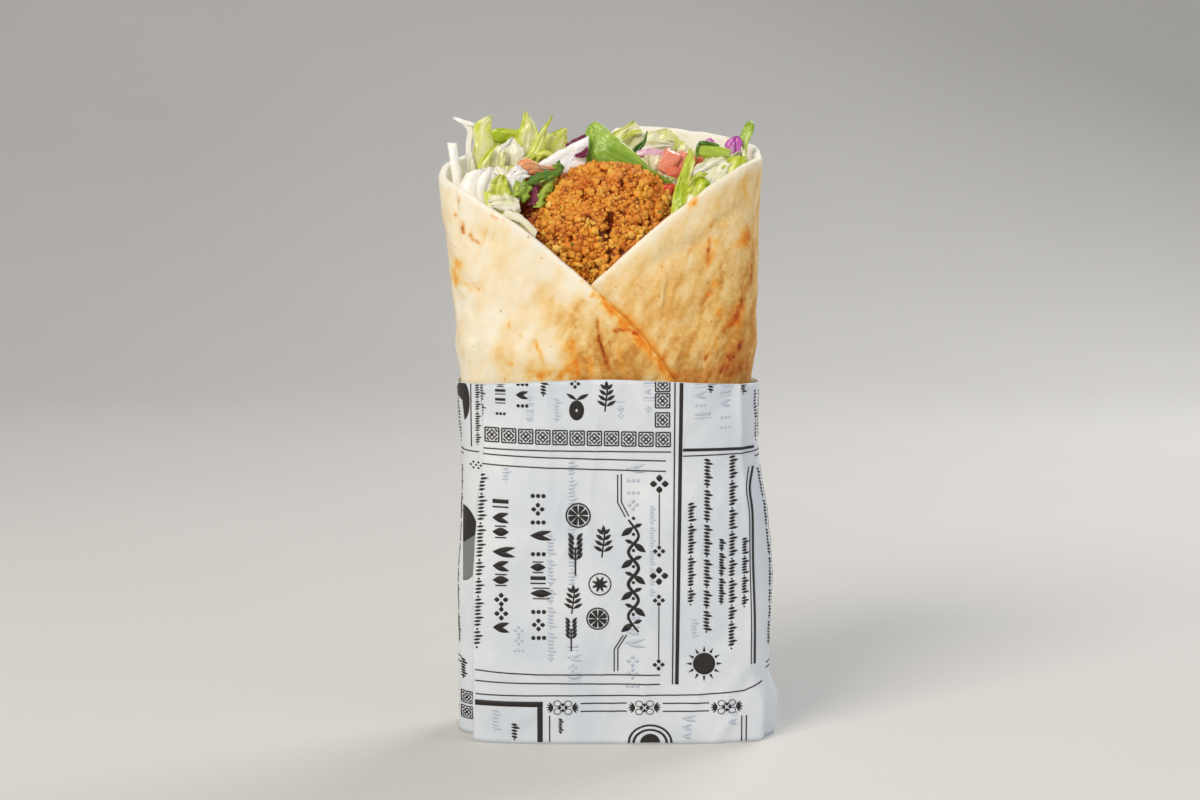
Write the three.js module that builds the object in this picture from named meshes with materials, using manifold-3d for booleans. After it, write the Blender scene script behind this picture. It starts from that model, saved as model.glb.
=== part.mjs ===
// A falafel wrap: a large thin flatbread rolled round falafel and salad, standing upright
// in a printed paper sleeve that covers its lower part.
// Units are millimetres. +Z is up, -Y is the front, and the origin is the middle of the base.

import * as THREE from "three";
import { mergeVertices } from "three/addons/utils/BufferGeometryUtils.js";
import Module from "manifold-3d";

const wasm = await Module();
wasm.setup();

// ---- Driving sizes ------------------------------------------------------------------------

const GAP = 0.3; // clearance between neighbouring solids
const BREAD_THICK = 2.0;
const PAPER_THICK = 0.6;
const QUARTER = 60; // length along the bread of one quarter of its girth
const PAPER_TOP = 103.3; // height of the sleeve's upper edge at the front and back
const PAPER_SIDE_DIP = 2.4; // the same edge lies lower by this much at the two sides
const FALAFEL = { x: -0.8, y: -7.2, z: 143.4, radius: 20.6, halfDepth: 14.4 };
const SALAD_TOP = 158; // mean height of the packed salad

// The outline of the whole roll at some heights: its half widths to the left and right of
// the middle, and its half depth.
const GIRTH = [
  { z: 0, left: 44.0, right: 44.6, depth: 20.6 },
  { z: 31, left: 43.8, right: 45.9, depth: 22.0 },
  { z: 47, left: 43.6, right: 46.6, depth: 22.8 },
  { z: 63, left: 42.6, right: 45.2, depth: 23.4 },
  { z: 80, left: 42.6, right: 42.8, depth: 24.0 },
  { z: 102, left: 44.0, right: 42.3, depth: 25.0 },
  { z: 125, left: 44.9, right: 43.5, depth: 25.4 },
  { z: 147, left: 47.0, right: 43.9, depth: 25.8 },
  { z: 159, left: 48.3, right: 44.1, depth: 26.0 },
  { z: 176, left: 48.0, right: 43.4, depth: 26.0 },
];

// Height of the bread's edge along its length, from the middle of the back round each side
// to the front, where the left flap lies over the right one. It steps down at the middle of
// the back.
const LEFT_RIM = [
  { s: 0, z: 170.6 },
  { s: 2.5, z: 168.6 },
  { s: 14, z: 167.8 },
  { s: 28, z: 166.6 },
  { s: 47, z: 164.0 },
  { s: 63, z: 159.3 },
  { s: 77, z: 155.4 },
  { s: 92.5, z: 146.8 },
  { s: 107, z: 135.6 },
  { s: 119, z: 125.3 },
  { s: 134, z: 110.3 },
  { s: 139, z: 103.6 },
  { s: 145, z: 92.0 },
];
const RIGHT_RIM = [
  { s: 0, z: 170.6 },
  { s: 2.5, z: 172.8 },
  { s: 26, z: 171.8 },
  { s: 46, z: 168.5 },
  { s: 62, z: 164.6 },
  { s: 76, z: 162.0 },
  { s: 93, z: 154.2 },
  { s: 110, z: 142.1 },
  { s: 125, z: 129.0 },
  { s: 138, z: 113.5 },
];
const BREAD_FLOOR = 1.2; // underside of the bread's closed end
const BREAD_FLOOR_THICK = 2.4;
const BREAD_SHARE = { left: 2.42, right: 2.3 }; // quarters of girth that each flap covers
const PAPER_SHARE = { inner: 1.85, outer: 2.63 };

// ---- Curves through stations --------------------------------------------------------------

function clamp(value, low, high) {
  return Math.min(high, Math.max(low, value));
}

function smoothStep(value, from, to) {
  const share = clamp((value - from) / (to - from), 0, 1);
  return share * share * (3 - 2 * share);
}

// A smooth curve through stations: the value of one field at a place along another.
function along(stations, placeField, valueField, place) {
  const last = stations.length - 1;
  const at = clamp(place, stations[0][placeField], stations[last][placeField]);
  let index = 0;
  while (index < last - 1 && stations[index + 1][placeField] < at) {
    index += 1;
  }
  const slope = (i) => {
    const before = stations[Math.max(0, i - 1)];
    const after = stations[Math.min(last, i + 1)];
    return (after[valueField] - before[valueField]) / (after[placeField] - before[placeField]);
  };
  const start = stations[index];
  const end = stations[index + 1];
  const width = end[placeField] - start[placeField];
  const t = (at - start[placeField]) / width;
  const blend = t * t * (3 - 2 * t);
  const rise = start[valueField] + blend * (end[valueField] - start[valueField]);
  const startPull = slope(index) * width * t * (1 - t) * (1 - t);
  const endPull = slope(index + 1) * width * t * t * (t - 1);
  return rise + startPull + endPull;
}

// ---- The girth ----------------------------------------------------------------------------

// A place on the roll's outline at height z. Walk counts quarters of the girth to the left
// from the middle of the back: 1 is the left side, 2 or -2 the front and -1 the right side.
// Squareness is the superellipse power of that quarter, and inset moves the place inwards.
const ARC_STEPS = 48;

function outlineQuarter(halfWidth, halfDepth, squareness, share) {
  const points = [];
  let length = 0;
  for (let i = 0; i <= ARC_STEPS; i += 1) {
    const angle = (Math.PI / 2) * (i / ARC_STEPS);
    const x = halfWidth * Math.pow(Math.sin(angle), 2 / squareness);
    const y = halfDepth * Math.pow(Math.max(0, Math.cos(angle)), 2 / squareness);
    if (i > 0) {
      length += Math.hypot(x - points[i - 1].x, y - points[i - 1].y);
    }
    points.push({ x, y, length });
  }
  const wanted = share * length;
  let index = 1;
  while (index < ARC_STEPS && points[index].length < wanted) {
    index += 1;
  }
  const from = points[index - 1];
  const to = points[index];
  const part = clamp((wanted - from.length) / (to.length - from.length), 0, 1);
  return { x: from.x + part * (to.x - from.x), y: from.y + part * (to.y - from.y) };
}

function outline(walk, z, squareness) {
  const turned = ((walk % 4) + 4) % 4;
  const quarter = Math.min(3, Math.floor(turned));
  const share = turned - quarter;
  const halfDepth = along(GIRTH, "z", "depth", z);
  const halfWidth = along(GIRTH, "z", quarter < 2 ? "left" : "right", z);
  const fromAxis = quarter % 2 === 0 ? share : 1 - share;
  const corner = outlineQuarter(halfWidth, halfDepth, squareness, fromAxis);
  const signX = quarter < 2 ? -1 : 1;
  const signY = quarter === 0 || quarter === 3 ? 1 : -1;
  return new THREE.Vector2(signX * corner.x, signY * corner.y);
}

const NORMAL_STEP = 0.01;

function wrapPoint(walk, z, squareness, inset) {
  const place = outline(walk, z, squareness);
  const ahead = outline(walk + NORMAL_STEP, z, squareness);
  const behind = outline(walk - NORMAL_STEP, z, squareness);
  const tangent = ahead.sub(behind).normalize();
  return new THREE.Vector3(place.x - inset * tangent.y, place.y + inset * tangent.x, z);
}

const ROUND_CORNERS = 2.6; // the bread's outline, and the sleeve's at its top
const ROUNDEST = 2.0; // the inner paper layer's front left, at the base
const SQUAREST = 4.4; // the outer paper panel at the base

function innerSquareness(walk, z) {
  const toFoot = 1 - smoothStep(z, 0, 100);
  const front = smoothStep(Math.abs(walk), 1, 1.3);
  return ROUND_CORNERS - (ROUND_CORNERS - ROUNDEST) * toFoot * front;
}

function panelSquareness(z) {
  const toFoot = 1 - smoothStep(z, 0, 100);
  return 2.8 + (SQUAREST - 2.8) * toFoot;
}

// ---- Solids -------------------------------------------------------------------------------

// A closed thin or thick sheet. Place gives the point at column share u, row share v on
// face 0 or 1. Both faces are split into triangles alike.
function sheet(columns, rows, place) {
  const positions = [];
  for (let face = 0; face < 2; face += 1) {
    for (let row = 0; row <= rows; row += 1) {
      for (let column = 0; column <= columns; column += 1) {
        const point = place(column / columns, row / rows, face);
        positions.push(point.x, point.y, point.z);
      }
    }
  }
  const across = columns + 1;
  const faceSize = across * (rows + 1);
  const at = (column, row, face) => face * faceSize + row * across + column;
  const triangles = [];
  const quad = (a, b, c, d) => triangles.push(a, b, c, a, c, d);
  for (let row = 0; row < rows; row += 1) {
    for (let column = 0; column < columns; column += 1) {
      const near = [[column, row], [column + 1, row], [column + 1, row + 1], [column, row + 1]];
      const [a, b, c, d] = near.map(([x, y]) => at(x, y, 0));
      const [e, f, g, h] = near.map(([x, y]) => at(x, y, 1));
      triangles.push(a, b, c, a, c, d);
      triangles.push(e, g, f, e, h, g);
    }
  }
  for (let column = 0; column < columns; column += 1) {
    quad(at(column + 1, 0, 0), at(column, 0, 0), at(column, 0, 1), at(column + 1, 0, 1));
    quad(at(column, rows, 0), at(column + 1, rows, 0), at(column + 1, rows, 1), at(column, rows, 1));
  }
  for (let row = 0; row < rows; row += 1) {
    quad(at(0, row, 0), at(0, row + 1, 0), at(0, row + 1, 1), at(0, row, 1));
    quad(at(columns, row + 1, 0), at(columns, row, 0), at(columns, row, 1), at(columns, row + 1, 1));
  }
  const geometry = new THREE.BufferGeometry();
  geometry.setAttribute("position", new THREE.Float32BufferAttribute(positions, 3));
  geometry.setIndex(triangles);
  return geometry;
}

function signedVolume(positions, triangles) {
  const corner = (i) => new THREE.Vector3().fromArray(positions, 3 * triangles[i]);
  let volume = 0;
  for (let i = 0; i < triangles.length; i += 3) {
    volume += corner(i).dot(corner(i + 1).cross(corner(i + 2))) / 6;
  }
  return volume;
}

// A boolean solid from a closed geometry, with its faces turned outwards.
function solidFrom(geometry) {
  const bare = geometry.clone();
  bare.deleteAttribute("normal");
  bare.deleteAttribute("uv");
  const merged = mergeVertices(bare, 1e-4);
  const positions = merged.attributes.position.array;
  const triangles = Array.from(merged.index.array);
  if (signedVolume(positions, triangles) < 0) {
    for (let i = 0; i < triangles.length; i += 3) {
      [triangles[i + 1], triangles[i + 2]] = [triangles[i + 2], triangles[i + 1]];
    }
  }
  const mesh = new wasm.Mesh({
    numProp: 3,
    vertProperties: new Float32Array(positions),
    triVerts: new Uint32Array(triangles),
  });
  return new wasm.Manifold(mesh);
}

function geometryFrom(solid) {
  const mesh = solid.getMesh();
  const geometry = new THREE.BufferGeometry();
  geometry.setAttribute("position", new THREE.Float32BufferAttribute(mesh.vertProperties, 3));
  geometry.setIndex(Array.from(mesh.triVerts));
  geometry.computeVertexNormals();
  return geometry;
}

function largestBody(solid) {
  const bodies = solid.decompose();
  return bodies.reduce((best, body) => (body.volume() > best.volume() ? body : best));
}

// A repeatable random draw between 0 and 1.
let drawState = 20241;
function draw() {
  drawState = (drawState * 1664525 + 1013904223) % 4294967296;
  return drawState / 4294967296;
}

// Smooth bumps over a place in space, between about -1 and 1.
function ripple(point, wave, phase) {
  const a = Math.sin(point.x / wave + 1.3 * phase + Math.cos(point.z / wave + phase));
  const b = Math.sin(point.y / wave + 2.1 * phase + Math.cos(point.x / wave - phase));
  const c = Math.sin(point.z / wave + 0.7 * phase + Math.cos(point.y / wave + 2 * phase));
  return (a + b + c) / 3;
}

// ---- Flatbread ----------------------------------------------------------------------------

function rimHeight(walk) {
  const s = Math.abs(walk) * QUARTER;
  return walk > 0 ? along(LEFT_RIM, "s", "z", s) : along(RIGHT_RIM, "s", "z", s);
}

// How far the bread's outer face lies inside the roll's outline: the sleeve squeezes it, and
// the right flap slips under the left one.
function breadInset(walk, z) {
  const underPaper = 2 * (PAPER_THICK + GAP);
  const squeezed = underPaper * (1 - smoothStep(z, PAPER_TOP, PAPER_TOP + 9));
  const tucked = (BREAD_THICK + GAP) * smoothStep(-walk, 1.05, 1.6);
  return squeezed + tucked;
}

function breadSheet(bottom, grow) {
  const start = -BREAD_SHARE.right - grow / QUARTER;
  const end = BREAD_SHARE.left + grow / QUARTER;
  return sheet(68, 7, (u, v, face) => {
    const walk = start + (end - start) * u;
    const top = rimHeight(walk) + grow;
    const z = bottom + (top - bottom) * Math.pow(v, 0.8);
    const outerInset = breadInset(walk, z) - grow;
    const inset = face === 0 ? outerInset : breadInset(walk, z) + BREAD_THICK + grow;
    return wrapPoint(walk, z, innerSquareness(walk, z), inset);
  });
}

// A solid that fills the roll's inside between two heights, set in by insetAt(walk, z).
function innerFill(bottom, top, rows, insetAt) {
  const columns = 36;
  const positions = [];
  for (let row = 0; row <= rows; row += 1) {
    const z = bottom + ((top - bottom) * row) / rows;
    for (let column = 0; column < columns; column += 1) {
      const walk = (4 * column) / columns - 2;
      const point = wrapPoint(walk, z, innerSquareness(walk, z), insetAt(walk, z));
      positions.push(point.x, point.y, point.z);
    }
  }
  const floor = positions.length / 3;
  positions.push(0, 0, bottom, 0, 0, top);
  const triangles = [];
  for (let column = 0; column < columns; column += 1) {
    const next = (column + 1) % columns;
    for (let row = 0; row < rows; row += 1) {
      const a = row * columns + column;
      const b = row * columns + next;
      triangles.push(a, b, b + columns, a, b + columns, a + columns);
    }
    triangles.push(floor, next, column);
    triangles.push(floor + 1, rows * columns + column, rows * columns + next);
  }
  const geometry = new THREE.BufferGeometry();
  geometry.setAttribute("position", new THREE.Float32BufferAttribute(positions, 3));
  geometry.setIndex(triangles);
  return solidFrom(geometry);
}

function makeFlatbread() {
  const wall = solidFrom(breadSheet(BREAD_FLOOR, 0));
  const middleOfWall = (walk, z) => breadInset(walk, z) + BREAD_THICK / 2;
  const foot = innerFill(BREAD_FLOOR, BREAD_FLOOR + BREAD_FLOOR_THICK, 1, middleOfWall);
  return wall.add(foot);
}

// ---- Paper sleeve -------------------------------------------------------------------------

// A corner of the paper is pulled out at the foot, on the right of the front.
const EAR_WALK = -1.3;
const EAR_SPREAD = 0.13;
const EAR_MIDDLE = 7; // height of its furthest point
const EAR_HALF_HEIGHT = 11;
const EAR_REACH = 6.0;

function paperTop(walk) {
  const side = Math.pow(Math.abs(Math.sin((Math.PI / 2) * walk)), 1.5);
  return PAPER_TOP - PAPER_SIDE_DIP * side;
}

// The outer panel starts at the right side and stands off the inner layer from there on.
function paperPoint(walk, z, inset) {
  const onPanel = smoothStep(-walk, 0.85, 1.2);
  const squareness = innerSquareness(walk, z) * (1 - onPanel) + panelSquareness(z) * onPanel;
  const standOff = (PAPER_THICK + GAP) * onPanel;
  const point = wrapPoint(walk, z, squareness, inset - standOff);
  const earShare = Math.exp(-Math.pow((walk - EAR_WALK) / EAR_SPREAD, 2));
  const earLift = clamp(1 - Math.pow((z - EAR_MIDDLE) / EAR_HALF_HEIGHT, 2), 0, 1);
  const ear = EAR_REACH * earShare * earLift;
  return point.add(new THREE.Vector3(ear, -0.15 * ear, 0));
}

function makePaperSleeve() {
  const wall = sheet(66, 7, (u, v, face) => {
    const walk = PAPER_SHARE.inner - (PAPER_SHARE.inner + PAPER_SHARE.outer) * u;
    const z = paperTop(walk) * Math.pow(v, 1.8);
    return paperPoint(walk, z, face * PAPER_THICK);
  });
  const edge = [];
  const corners = 40;
  for (let i = 0; i < corners; i += 1) {
    const walk = 1.99 - (3.98 * i) / (corners - 1);
    const point = paperPoint(walk, 0, PAPER_THICK / 2);
    edge.push(new THREE.Vector2(point.x, point.y));
  }
  const floor = new THREE.ExtrudeGeometry(new THREE.Shape(edge), {
    depth: PAPER_THICK,
    bevelEnabled: false,
  });
  return solidFrom(wall).add(solidFrom(floor));
}

// ---- Fillings -----------------------------------------------------------------------------

// A grown copy only clears room, so its faces are few, and it is a little larger, because
// flat faces cut the corners off a ball.
const CUTTER = { largeFrom: 8, large: { detail: 2, spare: 0.04 }, small: { detail: 1, spare: 0.1 } };

// A rounded chunk: a ball drawn out to three half sizes, turned and made uneven.
function chunk({ at, half, turn = [0, 0, 0], rough = 0.08, wave = 4, seed = 0, detail = 3 }, grow) {
  const cutter = half[0] > CUTTER.largeFrom ? CUTTER.large : CUTTER.small;
  const spare = grow > 0 ? cutter.spare : 0;
  const geometry = new THREE.IcosahedronGeometry(1, grow > 0 ? cutter.detail : detail);
  const spin = new THREE.Euler(...turn);
  const position = geometry.attributes.position;
  const point = new THREE.Vector3();
  for (let i = 0; i < position.count; i += 1) {
    point.fromBufferAttribute(position, i);
    const away = point.clone().multiplyScalar(half[0]);
    const swell = 1 + rough * ripple(away, wave, seed) + spare;
    point.set(
      point.x * (half[0] * swell + grow),
      point.y * (half[1] * swell + grow),
      point.z * (half[2] * swell + grow));
    point.applyEuler(spin);
    position.setXYZ(i, point.x + at[0], point.y + at[1], point.z + at[2]);
  }
  return solidFrom(geometry);
}

// A leaf, shred or strip: a thin wavy sheet along a curve. Wide is its greatest width, root and
// tip the shares of it left at the two ends, and face the direction that its broad side looks.
function blade(shape, grow) {
  const { path, wide, thick = 0.9, tip = 0.15, root = 0.6, cup = 0, wavy = 0, face = [0, -1, 0] } = shape;
  const spine = new THREE.CatmullRomCurve3(path.map((p) => new THREE.Vector3(...p)));
  const looks = new THREE.Vector3(...face).normalize();
  const rows = path.length > 3 || wide > 6 ? 4 : 3;
  const columns = wide > 6 ? 3 : 2;
  return solidFrom(sheet(columns, rows, (u, v, side) => {
    const centre = spine.getPoint(v);
    const tangent = spine.getTangent(v);
    const sideways = new THREE.Vector3().crossVectors(tangent, looks).normalize();
    const normal = new THREE.Vector3().crossVectors(sideways, tangent).normalize();
    const belly = Math.pow(Math.sin(Math.PI * clamp(0.12 + 0.85 * v, 0, 1)), 0.7);
    const ends = v < 0.5 ? root : tip;
    const width = wide * (ends + (1 - ends) * belly) + 2 * grow;
    const lateral = u - 0.5;
    const curl = cup * wide * (4 * lateral * lateral - 0.5);
    const wave = wavy * Math.sin(9 * v + 4 * lateral) * Math.abs(lateral) * 2;
    const lift = curl + wave + (side === 0 ? -0.5 : 0.5) * (thick + 2 * grow);
    return centre.addScaledVector(sideways, lateral * width).addScaledVector(normal, lift);
  }));
}

const DENT = 0.1; // how deep the dent is, as a share of the radius

// Crumbs that stand out on the falafel's crust, spread evenly over a ball of radius 1.
const NUGGETS = 70;
const GOLDEN_ANGLE = Math.PI * (3 - Math.sqrt(5));
const nuggets = Array.from({ length: NUGGETS }, (_, i) => {
  const height = 1 - (2 * (i + 0.5)) / NUGGETS;
  const turn = i * GOLDEN_ANGLE + 0.5 * draw();
  const flat = Math.sqrt(1 - height * height);
  const centre = new THREE.Vector3(flat * Math.cos(turn), flat * Math.sin(turn), height);
  return { centre, size: 0.13 + 0.09 * draw(), rise: 0.035 + 0.045 * draw() };
});

// The whole falafel: a thick round patty with a craggy fried crust and a dent in its face.
function crustedBall({ at, half, seed }, grow) {
  if (grow > 0) {
    return chunk({ at, half: half.map((r) => r * 1.03), rough: 0 }, grow);
  }
  const geometry = new THREE.IcosahedronGeometry(1, 7);
  const position = geometry.attributes.position;
  const dent = new THREE.Vector3(0, -1, -0.18).normalize();
  const point = new THREE.Vector3();
  for (let i = 0; i < position.count; i += 1) {
    point.fromBufferAttribute(position, i).normalize();
    let swell = 1 + 0.02 * ripple(point.clone().multiplyScalar(10), 3, seed);
    for (const nugget of nuggets) {
      const near = point.distanceTo(nugget.centre) / nugget.size;
      if (near < 1) {
        swell += nugget.rise * (1 - near * near);
      }
    }
    swell -= DENT * Math.exp(-Math.pow(point.distanceTo(dent) / 0.28, 2));
    swell = Math.min(swell - 0.045, 1.03);
    point.set(point.x * half[0], point.y * half[1], point.z * half[2]).multiplyScalar(swell);
    position.setXYZ(i, at[0] + point.x, at[1] + point.y, at[2] + point.z);
  }
  return solidFrom(geometry);
}

// ---- Salad --------------------------------------------------------------------------------

// The heap slopes down to the front flaps' slanting edges, and leaves a bowl for the falafel
// and a small one before the dark falafel on its left.
const BOWL = { depth: 30, halfWidth: 20.5, reach: 30, back: 8 };
const SMALL_BOWL = { x: -21.7, y: -6, floor: 136, depth: 26, halfWidth: 7, reach: 12, back: 10 };

function saladHeight(x, y) {
  const bumps = 2.2 * ripple(new THREE.Vector3(x, y, 0), 4.2, 1.7);
  const walk = x < 0 ? 2 + x / QUARTER : -2 + x / QUARTER;
  const frontEdge = rimHeight(clamp(walk, -1.99, 1.99));
  const climb = frontEdge - 3 + 1.25 * (y + 23) + 0.5 * bumps;
  const toFront = Math.min(y - FALAFEL.y, 0);
  const beside = Math.hypot((x - FALAFEL.x) / BOWL.halfWidth, toFront / BOWL.reach);
  const behind = (y - FALAFEL.y + 3) / BOWL.back;
  const bowl = SALAD_TOP - BOWL.depth * (1 - smoothStep(Math.max(beside, behind), 0.95, 1.15));
  const small = Math.hypot(
    (x - SMALL_BOWL.x) / SMALL_BOWL.halfWidth,
    Math.min(y - SMALL_BOWL.y, 0) / SMALL_BOWL.reach);
  const backOfSmall = (y - SMALL_BOWL.y + SMALL_BOWL.back) / SMALL_BOWL.back;
  const smallBowl =
    SMALL_BOWL.floor + SMALL_BOWL.depth * smoothStep(Math.max(small, backOfSmall), 0.8, 1.3);
  return Math.min(SALAD_TOP + bumps, climb, bowl + bumps, smallBowl);
}

// The bread's inner face, with the right flap's end behind the left flap.
function roomInset(walk, z) {
  const behindLeft = (BREAD_THICK + GAP) * smoothStep(walk, 1.45, 1.65);
  return breadInset(walk, z) + behindLeft + BREAD_THICK + 2 * GAP;
}

function makeSaladCore() {
  const cells = { x: 17, y: 10 };
  const half = { x: 46, y: 26 };
  const below = -5;
  const field = sheet(cells.x, cells.y, (u, v, face) => {
    const x = (2 * u - 1) * half.x;
    const y = (2 * v - 1) * half.y;
    return new THREE.Vector3(x, y, face === 0 ? below : saladHeight(x, y));
  });
  const foot = BREAD_FLOOR + BREAD_FLOOR_THICK + GAP;
  return innerFill(foot, SALAD_TOP + 8, 4, roomInset).intersect(solidFrom(field));
}

// The pieces that stand out of the heap, by kind, each from where it is held to its tip.
const WHITE = { thick: 1.5, tip: 0.6, wide: 2.6 };
const LETTUCE = { thick: 0.9, tip: 0.12, cup: 0.18, wavy: 0.5 };
const SHREDS = [
  { ...WHITE, path: [[-39, -3, 160], [-38.4, -2, 170], [-41, -2, 173.4], [-43.8, -1, 175.2]] },
  { ...WHITE, path: [[-39.5, -4, 164], [-39.6, -3, 169], [-39.8, -2.5, 172.6]] },
  { ...WHITE, path: [[-40.6, -11, 153], [-41.6, -9, 160], [-43.6, -6, 167.6]], wide: 3.2 },
  { ...LETTUCE, path: [[-36, -5, 156], [-36.4, -5, 166], [-34.2, -6, 175.2]], wide: 5.2 },
  { ...LETTUCE, path: [[-31.5, 0, 160], [-30.5, 1, 167], [-26.5, 3, 171.5]], wide: 6 },
  { ...LETTUCE, path: [[-22.6, 0, 158], [-23.2, 0, 168], [-23.5, 0, 177.6]], wide: 6.4 },
  { ...LETTUCE, path: [[-20.5, 0, 160], [-19.4, 0, 169], [-15.7, -1, 175.6]], wide: 4.2 },
  { ...LETTUCE, path: [[-19.6, 4, 160], [-16, 4, 166], [-11.4, 3, 172.2]], wide: 7 },
  { ...LETTUCE, path: [[-35, -11, 157], [-33.4, -10, 162], [-31, -9, 166.5]], wide: 3.6 },
  { ...LETTUCE, path: [[-33.5, -16, 150], [-31, -15, 155], [-28.8, -14, 159.5]], wide: 4.6 },
  { ...WHITE, path: [[-29, -17, 150], [-25.5, -15, 155], [-24.6, -12, 161]], wide: 4.4 },
  { ...LETTUCE, path: [[-30.5, -19, 150.5], [-27, -19.5, 149.5], [-23.5, -19.5, 150.5]], wide: 4.5 },
  { ...WHITE, path: [[-28.4, -20.2, 148.6], [-24, -21, 145], [-20.6, -21, 141.8]], wide: 2.2 },
  { ...LETTUCE, path: [[-1, 14, 160], [4, 14, 168], [7.4, 13, 174.6]], wide: 10 },
  { ...LETTUCE, path: [[12, 15, 160], [13.6, 15, 167], [14.6, 14, 172.4]], wide: 11 },
  { ...LETTUCE, path: [[19.4, -17, 147], [20.4, -12, 156], [23, -8, 163], [21.2, -8, 167.2]], wide: 3.2 },
  { ...LETTUCE, path: [[26, -15, 152], [30, -14, 158.5], [35.6, -11, 163.4]], wide: 9 },
  { ...LETTUCE, path: [[20.5, -17, 150.6], [25, -17.5, 154], [30, -16.5, 158]], wide: 4.4 },
  { ...LETTUCE, path: [[36, -8, 158], [37, -8, 162], [37.8, -7, 166]], wide: 4 },
  { ...WHITE, path: [[14, 2, 155], [12.8, -1, 160], [12, -3, 164]], wide: 4.4 },
];
const CHUNKS = [
  { at: [-27.8, -5, 164.6], half: [3.9, 2.6, 3.8], seed: 3 },
  { at: [-36.2, -12.5, 155.4], half: [4.0, 3.0, 4.4], seed: 5 },
  { at: [-32.5, -14, 160.4], half: [2.6, 2.2, 3.0], seed: 8 },
  { at: [31.5, -12, 158.5], half: [6.0, 3.4, 3.6], seed: 6 },
];
const SCATTERED = 12; // more shreds over the heap's top and back

function scatteredShreds() {
  const shreds = [];
  for (let i = 0; i < SCATTERED; i += 1) {
    const ring = i % 2 === 0 ? 0.85 : 0.5;
    const angle = Math.PI * ((i + 0.5) / SCATTERED) + 0.1 * draw();
    const x = 40 * ring * Math.cos(angle);
    const y = 4 + 16 * ring * Math.sin(angle);
    const heading = 2 * Math.PI * draw();
    const length = 9 + 5 * draw();
    const rise = 2.5 + 3 * draw();
    const z = saladHeight(x, y);
    const end = [x + length * Math.cos(heading), y + 0.6 * length * Math.sin(heading)];
    const kind = i % 3 === 0 ? WHITE : LETTUCE;
    shreds.push({
      ...kind,
      path: [[x, y, z - 2], [(x + end[0]) / 2, (y + end[1]) / 2, z + rise], [...end, z + 0.5 * rise]],
      wide: 4 + 3 * draw(),
      face: [0.3, -0.4, 1],
    });
  }
  return shreds;
}

function makeSalad() {
  let heap = makeSaladCore();
  for (const piece of [...SHREDS, ...scatteredShreds()]) {
    heap = heap.add(blade(piece, 0));
  }
  for (const piece of CHUNKS) {
    heap = heap.add(chunk({ ...piece, rough: 0.18, wave: 2, detail: 2 }, 0));
  }
  return heap;
}

// ---- The pieces that lie in the salad -----------------------------------------------------

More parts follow.
